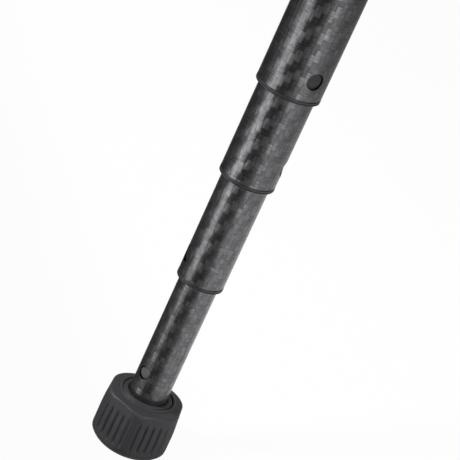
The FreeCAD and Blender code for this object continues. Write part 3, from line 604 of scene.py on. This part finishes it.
# share of the edge's width that is cut away at its middle
BUTTON_EDGE_CUT = 0.3
BUTTON_GAP = 0.18 * MM
BUTTON_SUNK = 0.50 * MM
BUTTON_SEAT_DEPTH = 1.2 * MM
CORE_BUTTON_SUNK = 0.9 * MM
# what stands this far out of the tube's bore, and this far above the tube's end or the foot, is the button
BUTTON_CLEAR_OF_WALL = 0.05 * MM
BUTTON_CLEAR_OF_END = 0.5 * MM
BUTTON_CLEAR_OF_FOOT = 2 * MM

ButtonPlace = namedtuple("ButtonPlace", "depth bearing radius face")


def button_place(leg, node, wall_radius, lowest_depth):
    """Depth, turn, radius and face of the snap button on a sleeve or foot core, from its vertices."""
    distance, depth, turn = leg.measured(node)
    proud = (distance > wall_radius) & (depth < lowest_depth)
    high, low = depth[proud].min(), depth[proud].max()
    bearing = atan2(np.sin(turn[proud]).mean(), np.cos(turn[proud]).mean())
    face = distance[proud] * np.cos(turn[proud] - bearing)
    radius = (low - high) / 2 - BUTTON_GAP
    return ButtonPlace((high + low) / 2, bearing, radius, face.max() - BUTTON_SUNK)


def button_facing(leg, bearing):
    """Direction that a button faces at this turn about its leg."""
    return leg.out * cos(bearing) + leg.across * sin(bearing)


def snap_button(name, leg, place, material, dome_height):
    """Round button with a broken edge and a slightly domed face, standing in the tube's wall."""
    radius = place.radius
    facing = button_facing(leg, place.bearing)
    up = -leg.down
    middle = leg.pivot + leg.down * place.depth + facing * place.face
    turned = placement(middle, up, up.cross(facing), facing)
    rim, cut = radius - BUTTON_EDGE, BUTTON_EDGE * BUTTON_EDGE_CUT
    shares = [step / BUTTON_RINGS for step in range(1, BUTTON_RINGS + 1)]
    outline = [Vector((rim * share, -dome_height * share * share)) for share in shares]
    outline += [Vector((radius - cut, -dome_height - cut)),
                Vector((radius, -dome_height - BUTTON_EDGE)),
                Vector((radius, -BUTTON_SEAT_DEPTH))]

    def fill(shape):
        # the circles that the outline's points run through
        circles = list(zip(*turned_rings(shape, outline, turned, BUTTON_SEGMENTS)))
        join_rings(shape, circles)
        close_ring(shape, circles[0], middle)
        close_ring(shape, circles[-1], middle - facing * BUTTON_SEAT_DEPTH)

    return new_piece(name, fill, material)


def core_cup(leg, node, wall_radius, lowest_depth, bearing, material):
    """The foot's core from its CAD mesh, with the stub of its button pushed in below the button's face."""
    mesh = coat(node, material).copy()
    distance, depth, _ = leg.measured(node)
    for index in np.nonzero((distance > wall_radius) & (depth < lowest_depth))[0]:
        mesh.vertices[int(index)].co -= button_facing(leg, bearing) * CORE_BUTTON_SUNK
    piece = add_object(node + "_cup", mesh)
    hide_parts(node)
    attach(piece, body_of_node(node))


def lip_sleeve(leg, node, bore, tube_end, material):
    """Guide sleeve in a tube's lower end, with the rounded lip ring and its two fine grooves below it."""
    distance, depth, _ = leg.measured(node)
    inner, lip = distance.min(), distance[depth > tube_end].max()
    outer, neck = bore - SLEEVE_SLACK, lip - LIP_GROOVE
    top, low = -depth.min(), -depth.max()
    step = -tube_end - SLEEVE_STEP
    band_top = -tube_end - LIP_GROOVE
    band_low = band_top - LIP_BAND
    outline = softened_outline([
        (inner, top, SLEEVE_ROUND),
        (outer, top, SLEEVE_ROUND),
        (outer, step, 0.0),
        (neck, step, 0.0),
        (neck, band_top, 0.0),
        (lip, band_top, LIP_BAND_ROUND),
        (lip, band_low, LIP_BAND_ROUND),
        (neck, band_low - 0.5 * LIP_GROOVE, LIP_GROOVE_ROUND),
        (lip, band_low - LIP_GROOVE, 2 * LIP_GROOVE_ROUND),
        (lip, low, LIP_END_ROUND),
        (inner + SLEEVE_CHAMFER, low, CHAMFER_ROUND),
        (inner, low + SLEEVE_CHAMFER, CHAMFER_ROUND),
    ])
    piece = turned_ring(node + "_ring", outline, leg.matrix(), LIP_SEGMENTS, material, 50)
    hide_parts(node)
    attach(piece, body_of_node(node))


class TRIPOD_OT_sleeves(bpy.types.Operator):
    """Turn the lip rings and guide sleeves and set the snap buttons in the tube walls"""

    bl_idname = "tripod.turn_sleeves"
    bl_label = "Turn Sleeves and Buttons"

    def execute(self, context):
        plastic = context.scene.tripod_plastic
        ring_finish = moulded_plastic("lip_ring_plastic", scaled(plastic.colour, 1.7), 0.42)
        button_finish = moulded_plastic("snap_button_plastic", plastic.colour, 0.45)
        for leg in LEGS:
            for section in (1, 2, 3):
                node = leg.prefix + f"end_sleeve_{section}"
                distance, depth, _ = leg.measured(leg.prefix + f"tube_{section}")
                bore, tube_end = distance.min(), depth.max()
                lip_sleeve(leg, node, bore, tube_end, ring_finish)
                place = button_place(leg, node, bore + BUTTON_CLEAR_OF_WALL, tube_end - BUTTON_CLEAR_OF_END)
                button = snap_button(leg.prefix + f"snap_button_{section}", leg, place, button_finish,
                                     plastic.button_dome)
                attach(button, body_of_node(node))
        return {"FINISHED"}


# Feet

FOOT_SIDES = 6
FOOT_TURN = radians(20.5)
FOOT_HOLE_RADIUS = 7.85 * MM
FOOT_LIP_RADIUS = 9.6 * MM
FOOT_LIP_ROUND = 0.35 * MM
FOOT_RING_GAP = 0.5 * MM
FOOT_RING_RADIUS = 11.2 * MM
FOOT_RING_HEIGHT = 0.6 * MM
FOOT_RING_ROUND = 0.3 * MM
FOOT_RING_DROP = 0.1 * MM
FOOT_HOLE_DEPTH = 7.7 * MM
FOOT_SHOULDER_DROP = 0.4 * MM
FOOT_SHOULDER_ROUND = 2.7 * MM
FOOT_APOTHEM = 14.9 * MM
FOOT_DRAFT = 0.9 * MM
FOOT_TAPER_DEPTH = 10.0 * MM
FOOT_CORNER_ROUND = 7.2 * MM
FOOT_CORNER_TRIM = 0.12 * MM
FOOT_WALL_END = 16.6 * MM
FOOT_EDGE_ROUND = 6.0 * MM
SOLE_SLOPE = radians(24.0)
GROOVES_PER_SIDE = 5
GROOVE_PITCH = 3.0 * MM
GROOVE_HALF_WIDTH = 0.80 * MM
GROOVE_START = 4.4 * MM
GROOVE_LENGTH = 13.8 * MM
GROOVE_END_SOFTNESS = 2.6 * MM
FOOT_COLUMNS = 396
# share of the side's distance from the axis beyond which the skin is a side and takes grooves
FOOT_SIDE_SHARE = 0.9
# steps of the fine outline that the foot's columns are spread over
OUTLINE_STEPS = 7200
COLLAR_WALL = 0.12 * MM
COLLAR_ABOVE = 1.7 * MM
COLLAR_BELOW = 2.5 * MM
COLLAR_SUNK = 0.05 * MM
COLLAR_SEGMENTS = 96


def hexagon_radius(angle, apothem):
    """Distance from the axis to the six-sided outline with round corners."""
    half = pi / FOOT_SIDES
    corner = (angle + half) % (2 * half) - half
    flat = apothem - FOOT_CORNER_ROUND
    centre = flat / cos(half)
    edge_angle = half - atan2(flat * tan(half), apothem)
    if abs(corner) <= edge_angle:
        sideways = centre * sin(corner)
        return centre * cos(corner) + sqrt(FOOT_CORNER_ROUND ** 2 - sideways ** 2)
    return apothem / cos(half - abs(corner))


def foot_turnings():
    """(radius, height) points of the foot's turned shape from hole to sole, and the sole's lowest height."""
    corner_radius = hexagon_radius(0.0, FOOT_APOTHEM) - FOOT_CORNER_TRIM
    shoulder = (corner_radius - FOOT_SHOULDER_ROUND,
                -FOOT_RING_HEIGHT - FOOT_SHOULDER_DROP - FOOT_SHOULDER_ROUND)
    edge = (corner_radius - FOOT_EDGE_ROUND, -FOOT_WALL_END)
    sole_start = (edge[0] + FOOT_EDGE_ROUND * sin(SOLE_SLOPE),
                  edge[1] - FOOT_EDGE_ROUND * cos(SOLE_SLOPE))
    sole_radius = sole_start[0] / sin(SOLE_SLOPE)
    sole_centre = sole_start[1] + sole_radius * cos(SOLE_SLOPE)

    def arc(centre, radius, first, last, count):
        angles = np.radians(np.linspace(first, last, count))
        return [(centre[0] + radius * cos(a), centre[1] + radius * sin(a)) for a in angles]

    def run(first, last, count):
        return np.linspace(first, last, count, endpoint=False).tolist()

    slope = degrees(SOLE_SLOPE)
    ring_start = FOOT_LIP_RADIUS + FOOT_RING_GAP
    ring_edge = -FOOT_RING_DROP - FOOT_RING_ROUND
    points = [
        *run((FOOT_HOLE_RADIUS, -FOOT_HOLE_DEPTH), (FOOT_HOLE_RADIUS, -FOOT_LIP_ROUND), 6),
        *arc((FOOT_HOLE_RADIUS + FOOT_LIP_ROUND, -FOOT_LIP_ROUND), FOOT_LIP_ROUND, 180, 90, 6),
        *arc((FOOT_LIP_RADIUS - FOOT_LIP_ROUND, -FOOT_LIP_ROUND), FOOT_LIP_ROUND, 90, 0, 6),
        *arc(((FOOT_LIP_RADIUS + ring_start) / 2, -FOOT_LIP_ROUND), FOOT_RING_GAP / 2, 190, 350, 6),
        *arc((ring_start + FOOT_RING_ROUND, ring_edge), FOOT_RING_ROUND, 180, 90, 5),
        *arc((FOOT_RING_RADIUS - FOOT_RING_ROUND, ring_edge), FOOT_RING_ROUND, 90, 0, 6),
        *run((FOOT_RING_RADIUS + 0.02 * MM, -FOOT_RING_HEIGHT),
             (shoulder[0], -FOOT_RING_HEIGHT - FOOT_SHOULDER_DROP), 8),
        *arc(shoulder, FOOT_SHOULDER_ROUND, 90, 0, 16),
        *run((corner_radius, shoulder[1] - 0.1 * MM), (corner_radius, -FOOT_WALL_END), 44),
        *arc(edge, FOOT_EDGE_ROUND, 0, slope - 90, 20),
        *arc((0, sole_centre), sole_radius, slope - 90.6, -90, 14)[:-1],
    ]
    return points, sole_centre - sole_radius


def soft_least(a, b, softness):
    """The smaller of two lengths, with a soft change from one to the other."""
    overlap = max(softness - abs(a - b), 0.0) / softness
    return min(a, b) - overlap * overlap * softness / 4


def groove_share(sideways, height):
    """How much of the groove's depth there is at a place on a side, 0 to 1."""
    nearest = round(sideways / GROOVE_PITCH)
    off = abs(sideways - nearest * GROOVE_PITCH) / GROOVE_HALF_WIDTH
    past_start = -GROOVE_START - height
    inside = min(past_start, GROOVE_LENGTH - past_start) / GROOVE_END_SOFTNESS
    if abs(nearest) > (GROOVES_PER_SIDE - 1) / 2 or off >= 1 or inside <= 0:
        return 0.0
    return 0.5 * (1 + cos(pi * off)) * sin(min(1.0, inside) * pi / 2)


def foot_mesh(shape, place, settings):
    """The foot's skin: hole, ring, shoulder, six grooved sides and domed sole."""
    turnings, sole_height = foot_turnings()
    angles, sideways = foot_columns()
    rings = []
    for radius, height in turnings:
        depth = min(max(-height / FOOT_TAPER_DEPTH, 0.0), 1.0)
        apothem = FOOT_APOTHEM - FOOT_DRAFT * (1 - depth)
        ring = []
        for angle, along in zip(angles, sideways):
            reach = radius
            if radius > FOOT_RING_RADIUS + 0.1 * MM or height < -GROOVE_START:
                reach = soft_least(radius, hexagon_radius(angle, apothem), settings.edge_softness)
                if radius > FOOT_APOTHEM * FOOT_SIDE_SHARE:
                    reach -= settings.groove_depth * groove_share(along, height)
            ring.append(shape.verts.new(place @ turned_point(reach, angle + FOOT_TURN, height)))
        rings.append(ring)
    join_rings(shape, rings)
    close_ring(shape, rings[-1], place @ Vector((0, 0, sole_height)))
    close_ring(shape, rings[0], place @ Vector((0, 0, -FOOT_HOLE_DEPTH)))


def foot_columns():
    """Angles round the foot at even steps along its outline, and how far each is from its side's middle."""
    turns = np.linspace(0, 2 * pi, OUTLINE_STEPS + 1)
    radii = np.array([hexagon_radius(a, FOOT_APOTHEM) for a in turns])
    lengths = np.hypot(np.diff(radii * np.cos(turns)), np.diff(radii * np.sin(turns)))
    travelled = np.append(0.0, np.cumsum(lengths))
    whole = travelled[-1]
    stops = np.arange(FOOT_COLUMNS) * whole / FOOT_COLUMNS
    angles = np.interp(stops, travelled, turns)
    side = whole / FOOT_SIDES
    return angles.tolist(), ((stops % side) - side / 2).tolist()


def tube_collar(leg, top, material):
    """Smooth black collar that closes the gap between the lowest tube and the foot; its near-black colour is
    partly its own black and partly painted shade in that gap.
    """
    tube = leg.measured(leg.prefix + "tube_4")[0].max()
    low, high = -COLLAR_BELOW, COLLAR_ABOVE
    outline = softened_outline([
        (tube - COLLAR_SUNK, low, 0.0),
        (tube + COLLAR_WALL, low, 0.0),
        (tube + COLLAR_WALL, high, 0.5 * COLLAR_WALL),
        (tube - COLLAR_SUNK, high + COLLAR_SUNK, 0.0),
    ])
    collar = turned_ring(leg.prefix + "foot_collar", outline, leg.matrix(top), COLLAR_SEGMENTS, material, 60)
    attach(collar, body_of_node(leg.prefix + "tube_4"))


class TRIPOD_OT_feet(bpy.types.Operator):
    """Mould the six-sided rubber feet and turn the cores that hold them on the tubes"""

    bl_idname = "tripod.mould_feet"
    bl_label = "Mould Feet"

    def execute(self, context):
        settings = context.scene.tripod_rubber
        plastic = context.scene.tripod_plastic
        rubber = moulded_rubber(settings)
        # painted shade: the core and collar plastic is five times darker than the other black plastic, so
        # that the collar shows as deep shade in the gap between tube and foot
        black_core_and_painted_shade_finish = moulded_plastic("foot_core_black_and_painted_shade", scaled(plastic.colour, 0.2), 0.6)
        # painted light: the foot's snap button is the same plastic as the other snap buttons, made five
        # times paler so that its face looks lit by the left lamp
        button_finish = moulded_plastic("foot_button_painted_light_plastic", scaled(plastic.colour, 5.0), 0.36)
        for leg in LEGS:
            node = leg.prefix + "foot_rubber"
            top = leg.measured(node)[1].min()
            skin = new_piece(node + "_moulding",
                             lambda shape: foot_mesh(shape, leg.matrix(top), settings), rubber)
            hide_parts(node)
            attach(skin, body_of_node(node))
            tube_collar(leg, top, black_core_and_painted_shade_finish)
            core = leg.prefix + "foot_core"
            wall_radius = leg.measured(leg.prefix + "tube_4")[0].min() + BUTTON_CLEAR_OF_WALL
            lowest_depth = top - BUTTON_CLEAR_OF_FOOT
            place = button_place(leg, core, wall_radius, lowest_depth)
            core_cup(leg, core, wall_radius, lowest_depth, place.bearing, black_core_and_painted_shade_finish)
            button = snap_button(leg.prefix + "snap_button_4", leg, place, button_finish,
                                 0.5 * plastic.button_dome)
            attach(button, body_of_node(core))
        return {"FINISHED"}


class TRIPOD_OT_tubes(bpy.types.Operator):
    """Wrap the leg tubes and the centre column in lacquered twill carbon"""

    bl_idname = "tripod.weave_tubes"
    bl_label = "Weave Carbon Tubes"

    def execute(self, context):
        settings = context.scene.tripod_carbon
        for leg in LEGS:
            for section in (1, 2, 3, 4):
                node = leg.prefix + f"tube_{section}"
                radius = leg.measured(node)[0].max()
                coat(node, twill_carbon(node + "_carbon", leg.pivot, leg.axes, radius, settings))
        low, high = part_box("column_tube")
        radius = (high.x - low.x) / 2
        upright = Matrix.Identity(3)
        coat("column_tube", twill_carbon("column_carbon", Vector(), upright, radius, settings))
        return {"FINISHED"}


class TRIPOD_OT_locks(bpy.types.Operator):
    """Finish the locks inside the tubes"""

    bl_idname = "tripod.finish_locks"
    bl_label = "Finish Inner Locks"

    def execute(self, context):
        finish = moulded_plastic("lock_plastic", scaled(context.scene.tripod_plastic.colour, 1.4), 0.5)
        for leg in LEGS:
            for name in ("lock_2", "lock_3", "expander_4", "plug_4"):
                coat(leg.prefix + name, finish)
        coat("column_bushing", finish)
        return {"FINISHED"}


class TRIPOD_OT_crown(bpy.types.Operator):
    """Finish the crown, its bolts, the hinge blocks and the angle latches"""

    bl_idname = "tripod.finish_crown"
    bl_label = "Finish Crown and Hinges"

    def execute(self, context):
        settings = context.scene.tripod_metal
        black = anodised_metal("crown_anodised", settings)
        hinge = anodised_metal("hinge_anodised", settings, 0.34, scaled(settings.anodised_colour, 1.3))
        latch = anodised_metal("latch_anodised_grey", settings, 0.32, scaled(settings.bare_colour, 0.6))
        steel = turned_metal("bolt_steel", settings.steel_colour, settings)
        coat("crown", black)
        coat("leg_pivot_bolts", steel)
        for leg in LEGS:
            coat(leg.prefix + "hinge_block", hinge)
            coat(leg.prefix + "angle_latch", latch)
        return {"FINISHED"}


class TRIPOD_OT_column(bpy.types.Operator):
    """Finish the column's collar and its ballast hook"""

    bl_idname = "tripod.finish_column"
    bl_label = "Finish Column Fittings"

    def execute(self, context):
        settings = context.scene.tripod_metal
        coat("column_collar", anodised_metal("collar_anodised", settings, 0.42))
        coat("ballast_hook", anodised_metal("hook_anodised", settings, 0.34))
        return {"FINISHED"}


# Camera plate and screw

PAD_MARGIN = 3.4 * MM
PAD_CORNER = 2.6 * MM
PAD_HOLE = 5.0 * MM
RIB_PITCH = 1.5 * MM
RIB_HALF_WIDTH = 0.5 * MM
RIB_HEIGHT = 0.35 * MM
RIB_SUNK = 0.03 * MM
RIB_STEPS = 6
# how narrow and low a rib is at its ends
RIB_END = 0.35
THREAD_PITCH = 1.27 * MM
THREAD_DEPTH = 0.55 * MM
THREAD_SIDES = 64
THREAD_ROWS_PER_TURN = 14
SCREW_EDGE = 0.5 * MM
# the shank's radius is read from this far below the head's top to this far above the plate, and the
# thread's from a little higher
HEAD_READ = 0.1 * MM
SHANK_READ = 0.6 * MM
THREAD_READ = 1.0 * MM
# slope of the thread's sides, and how much of the groove its flat crest takes
THREAD_SLOPE = 2.6
THREAD_FLAT = 0.15
HEAD_SCALLOPS = 20
HEAD_SCALLOP_DEPTH = 0.25 * MM


def rib(shape, start, end, y, z):
    """Rounded bar along X with tapered ends, standing on a surface."""
    taper = RIB_HALF_WIDTH
    angles = [pi * (1 - step / RIB_STEPS) for step in range(RIB_STEPS + 1)]
    rings = []
    for x, size in ((start, RIB_END), (start + taper, 1.0), (end - taper, 1.0), (end, RIB_END)):
        half = RIB_HALF_WIDTH * size
        section = [(y + half * cos(a), z + RIB_HEIGHT * size * sin(a)) for a in angles]
        section = [(y - half, z - RIB_SUNK), *section, (y + half, z - RIB_SUNK)]
        rings.append([shape.verts.new((x, *point)) for point in section])
    join_rings(shape, rings)
    shape.faces.new(rings[0])
    shape.faces.new(rings[-1][::-1])


def pad_ribs(shape, low, high):
    """Ribs of the rubber pad on the camera plate, clear of the screw and drawn in at the plate's corners."""
    middle = (low + high) / 2
    half_length = (high.x - low.x) / 2 - PAD_MARGIN
    half_width = (high.y - low.y) / 2 - PAD_MARGIN
    rows = int((half_width - RIB_HALF_WIDTH) / RIB_PITCH)
    for row in range(-rows, rows + 1):
        y = row * RIB_PITCH
        past_corner = max(0.0, abs(y) - (half_width - PAD_CORNER))
        reach = half_length - PAD_CORNER + sqrt(PAD_CORNER ** 2 - past_corner ** 2)
        spans = [(-reach, reach)]
        if abs(y) < PAD_HOLE:
            gap = sqrt(PAD_HOLE ** 2 - y ** 2)
            spans = [(-reach, -gap), (gap, reach)]
        for start, end in spans:
            rib(shape, middle.x + start, middle.x + end, middle.y + y, high.z)


def threaded_screw(shape, points, seat):
    """Camera screw: a scalloped head, a plain shank and a thread cut as one helical groove."""
    wide = np.hypot(points[:, 0], points[:, 1])
    heights = points[:, 2]
    head_radius = wide.max()
    head_low, head_high = heights.min(), heights[wide > 0.9 * head_radius].max()
    shank_radius = wide[(heights > head_high - HEAD_READ) & (heights < seat + SHANK_READ)].min()
    top = heights.max()
    thread_radius = wide[heights > seat + THREAD_READ].max()
    sections = [(head_radius - SCREW_EDGE, head_low), (head_radius, head_low + SCREW_EDGE),
                (head_radius, head_high - SCREW_EDGE), (head_radius - SCREW_EDGE, head_high),
                (shank_radius, head_high), (shank_radius, seat)]
    thread_rows = round((top - seat) / THREAD_PITCH * THREAD_ROWS_PER_TURN)
    sections += [(thread_radius, height) for height in np.linspace(seat, top, thread_rows + 1)[1:]]
    rings = []
    for radius, height in sections:
        ring = []
        for step in range(THREAD_SIDES):
            angle = 2 * pi * step / THREAD_SIDES
            reach = radius
            if radius == head_radius:
                reach -= HEAD_SCALLOP_DEPTH * (0.5 - 0.5 * cos(HEAD_SCALLOPS * angle))
            if height > seat:
                phase = ((height - seat) / THREAD_PITCH - step / THREAD_SIDES) % 1.0
                crest = min(1.0, max(0.0, THREAD_SLOPE * abs(phase - 0.5) - THREAD_FLAT))
                reach = thread_radius - THREAD_DEPTH * crest
                reach = min(reach, thread_radius - SCREW_EDGE + (top - height))
            ring.append(shape.verts.new(turned_point(reach, angle, height)))
        rings.append(ring)
    join_rings(shape, rings)
    shape.faces.new(rings[0][::-1])
    shape.faces.new(rings[-1])


class TRIPOD_OT_head(bpy.types.Operator):
    """Finish the ball head, its knob, the clamp, the plate and the camera screw"""

    bl_idname = "tripod.finish_head"
    bl_label = "Finish Head and Clamp"

    def execute(self, context):
        settings = context.scene.tripod_metal
        black = anodised_metal("head_anodised", settings)
        knob = anodised_metal("knob_anodised", settings, 0.46)
        for node in ("head_base", "ball_housing", "clamp_body", "clamp_jaw", "quick_plate"):
            coat(node, black)
        for node in ("ball_knob", "clamp_knob"):
            coat(node, knob)
        coat("ball_stem", turned_metal("ball_aluminium", settings.bare_colour, settings, 0.24))
        plate_low, plate_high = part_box("quick_plate")
        pad = new_piece("plate_pad_ribs", lambda shape: pad_ribs(shape, plate_low, plate_high),
                        moulded_rubber(context.scene.tripod_rubber, "plate_pad_rubber"), 60)
        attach(pad, body_of_node("quick_plate"))
        points = node_points("camera_screw")
        steel = turned_metal("screw_steel", settings.steel_colour, settings)
        screw = new_piece("camera_screw_threaded",
                          lambda shape: threaded_screw(shape, points, plate_high.z), steel, 50)
        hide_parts("camera_screw")
        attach(screw, body_of_node("camera_screw"))
        return {"FINISHED"}


# Stage

FLOOR_SIZE = 16.0
FLOOR_SQUARES = 8
AIM = Vector((-0.17505, 0.0, -0.44988))
LAMP_TARGET = Vector((-0.17, 0.0, -0.40))
# direction of the studio's bright side, and where its floor turns bright and dims on the way
BRIGHT_SIDE = (0.973, 0.230, 0.0)
FLOOR_BRIGHT_START = -0.239
FLOOR_BRIGHT_END = -0.159
FLOOR_DIM_START = -0.11
FLOOR_DIM_END = 0.08
FLOOR_DIMMED = 0.20
FAR_FLOOR = (0.80, 0.80, 0.80)
DARK_SIDE_GREY = (0.020, 0.020, 0.021)
BRIGHT_SIDE_GREY = (0.18, 0.18, 0.185)
FLOOR_WHITE = 0.97
MIRRORED_WHITE = 0.50


class StageLook(Finish):
    """A floor or surroundings that read white to the camera and are greyer in front of the object."""

    def brightness(self, place, start, end):
        """0 short of the start on the way to the studio's bright side, 1 beyond the end."""
        return self.stepped(self.vector("DOT_PRODUCT", place, BRIGHT_SIDE), start, end)

    def shown(self, lit, white, seen, bright):
        """Ends in a lit shader, with plain white for the camera and for reflections of the bright side."""
        path = self.node("ShaderNodeLightPath").outputs
        direct = self.math("MAXIMUM", path["Is Camera Ray"], path["Is Transmission Ray"])
        glossy = self.times(path["Is Glossy Ray"], self.times(bright, MIRRORED_WHITE))
        share = self.math("MAXIMUM", self.times(direct, seen), glossy)
        mixed = self.node("ShaderNodeMixShader", (share, lit, white))
        self.put(self.output.inputs["Surface"], mixed.outputs[0])


def white_floor(settings):
    """Pale floor that reads white to the camera and keeps a light shadow."""
    look = StageLook(bpy.data.materials.new("studio_floor"))
    place = look.object_place()
    near_side = look.brightness(place, FLOOR_BRIGHT_START, FLOOR_BRIGHT_END)
    far_side = look.between(look.brightness(place, FLOOR_DIM_START, FLOOR_DIM_END), 1.0, FLOOR_DIMMED)
    bright = look.times(near_side, far_side)
    colour = look.coloured(bright, settings.floor_colour, FAR_FLOOR)
    matt = look.node("ShaderNodeBsdfDiffuse", (colour,)).outputs[0]
    white = look.node("ShaderNodeEmission").outputs[0]
    look.shown(matt, white, FLOOR_WHITE, bright)
    return look.owner


def studio_world():
    """Grey surroundings that light the object softly and read white to the camera."""
    look = StageLook(bpy.data.worlds.new("studio"))
    bpy.context.scene.world = look.owner
    direction = look.node("ShaderNodeTexCoord").outputs["Generated"]
    bright = look.brightness(direction, 0.1, 0.95)
    grey = look.coloured(bright, DARK_SIDE_GREY, BRIGHT_SIDE_GREY)
    soft = look.node("ShaderNodeBackground", (grey,)).outputs[0]
    white = look.node("ShaderNodeBackground", ((1.0, 1.0, 1.0),)).outputs[0]
    look.shown(soft, white, 1.0, bright)


def soft_box(name, place, width, height, power):
    """Rectangular soft light that faces the end of the leg."""
    lamp = bpy.data.lights.new(name, "AREA")
    lamp.shape = "RECTANGLE"
    lamp.size = width
    lamp.size_y = height
    lamp.energy = power
    light = add_object(name, lamp)
    light.location = place
    light.rotation_euler = (LAMP_TARGET - Vector(place)).to_track_quat("-Z", "Y").to_euler()
    light.visible_camera = False


def floor_squares(shape):
    """Floor at the feet's height, of a few plain squares."""
    bmesh.ops.create_grid(shape, x_segments=FLOOR_SQUARES, y_segments=FLOOR_SQUARES, size=FLOOR_SIZE / 2,
                          matrix=Matrix.Translation((0, 0, cad_box[0].z)))


class TRIPOD_OT_stage(bpy.types.Operator):
    """Set the floor, the soft boxes and the camera"""

    bl_idname = "tripod.set_stage"
    bl_label = "Set Stage"

    def execute(self, context):
        settings = context.scene.tripod_stage
        scene = context.scene
        scene.view_settings.view_transform = "Standard"

        floor = new_piece("studio_floor", floor_squares, white_floor(settings))
        studio_world()

        lens = bpy.data.cameras.new("photo_camera")
        lens.lens = settings.lens
        lens.sensor_width = 36.0
        lens.clip_start = 0.01
        camera = add_object("photo_camera", lens)
        back = Vector((0, -cos(settings.camera_elevation), sin(settings.camera_elevation)))
        camera.location = AIM + back * settings.camera_distance
        camera.rotation_euler = (pi / 2 - settings.camera_elevation, 0, 0)
        scene.camera = camera

        soft_box("left_soft_box", (-0.99, -0.39, -0.52), 0.40, 0.50, settings.left_light)
        soft_box("right_soft_box", (0.30, -0.80, -0.30), 0.30, 0.48, settings.right_light)
        soft_box("top_soft_box", (-0.95, -0.05, 0.80), 0.35, 0.35, settings.top_light)
        return {"FINISHED"}


OPERATORS = (
    TRIPOD_OT_stage,
    TRIPOD_OT_tubes,
    TRIPOD_OT_sleeves,
    TRIPOD_OT_feet,
    TRIPOD_OT_locks,
    TRIPOD_OT_crown,
    TRIPOD_OT_column,
    TRIPOD_OT_head,
)


class TRIPOD_PT_pieces(bpy.types.Panel):
    """Lists the tripod's settings and the operators that make its pieces"""

    bl_label = "Camera Tripod"
    bl_idname = "TRIPOD_PT_pieces"
    bl_space_type = "VIEW_3D"
    bl_region_type = "UI"
    bl_category = "Tripod"

    def draw(self, context):
        for operator in OPERATORS:
            self.layout.operator(operator.bl_idname)
        for name, group in SETTINGS.items():
            box = self.layout.box()
            for setting in group.__annotations__:
                box.prop(getattr(context.scene, name), setting)


def register():
    for group in SETTINGS.values():
        bpy.utils.register_class(group)
    for name, group in SETTINGS.items():
        setattr(bpy.types.Scene, name, PointerProperty(type=group))
    for operator in OPERATORS:
        bpy.utils.register_class(operator)
    bpy.utils.register_class(TRIPOD_PT_pieces)


def unregister():
    bpy.utils.unregister_class(TRIPOD_PT_pieces)
    for operator in reversed(OPERATORS):
        bpy.utils.unregister_class(operator)
    for name, group in SETTINGS.items():
        delattr(bpy.types.Scene, name)
        bpy.utils.unregister_class(group)


def main():
    register()
    bpy.ops.tripod.set_stage()
    bpy.ops.tripod.weave_tubes()
    bpy.ops.tripod.turn_sleeves()
    bpy.ops.tripod.mould_feet()
    bpy.ops.tripod.finish_locks()
    bpy.ops.tripod.finish_crown()
    bpy.ops.tripod.finish_column()
    bpy.ops.tripod.finish_head()


if __name__ == "__main__":
    main()
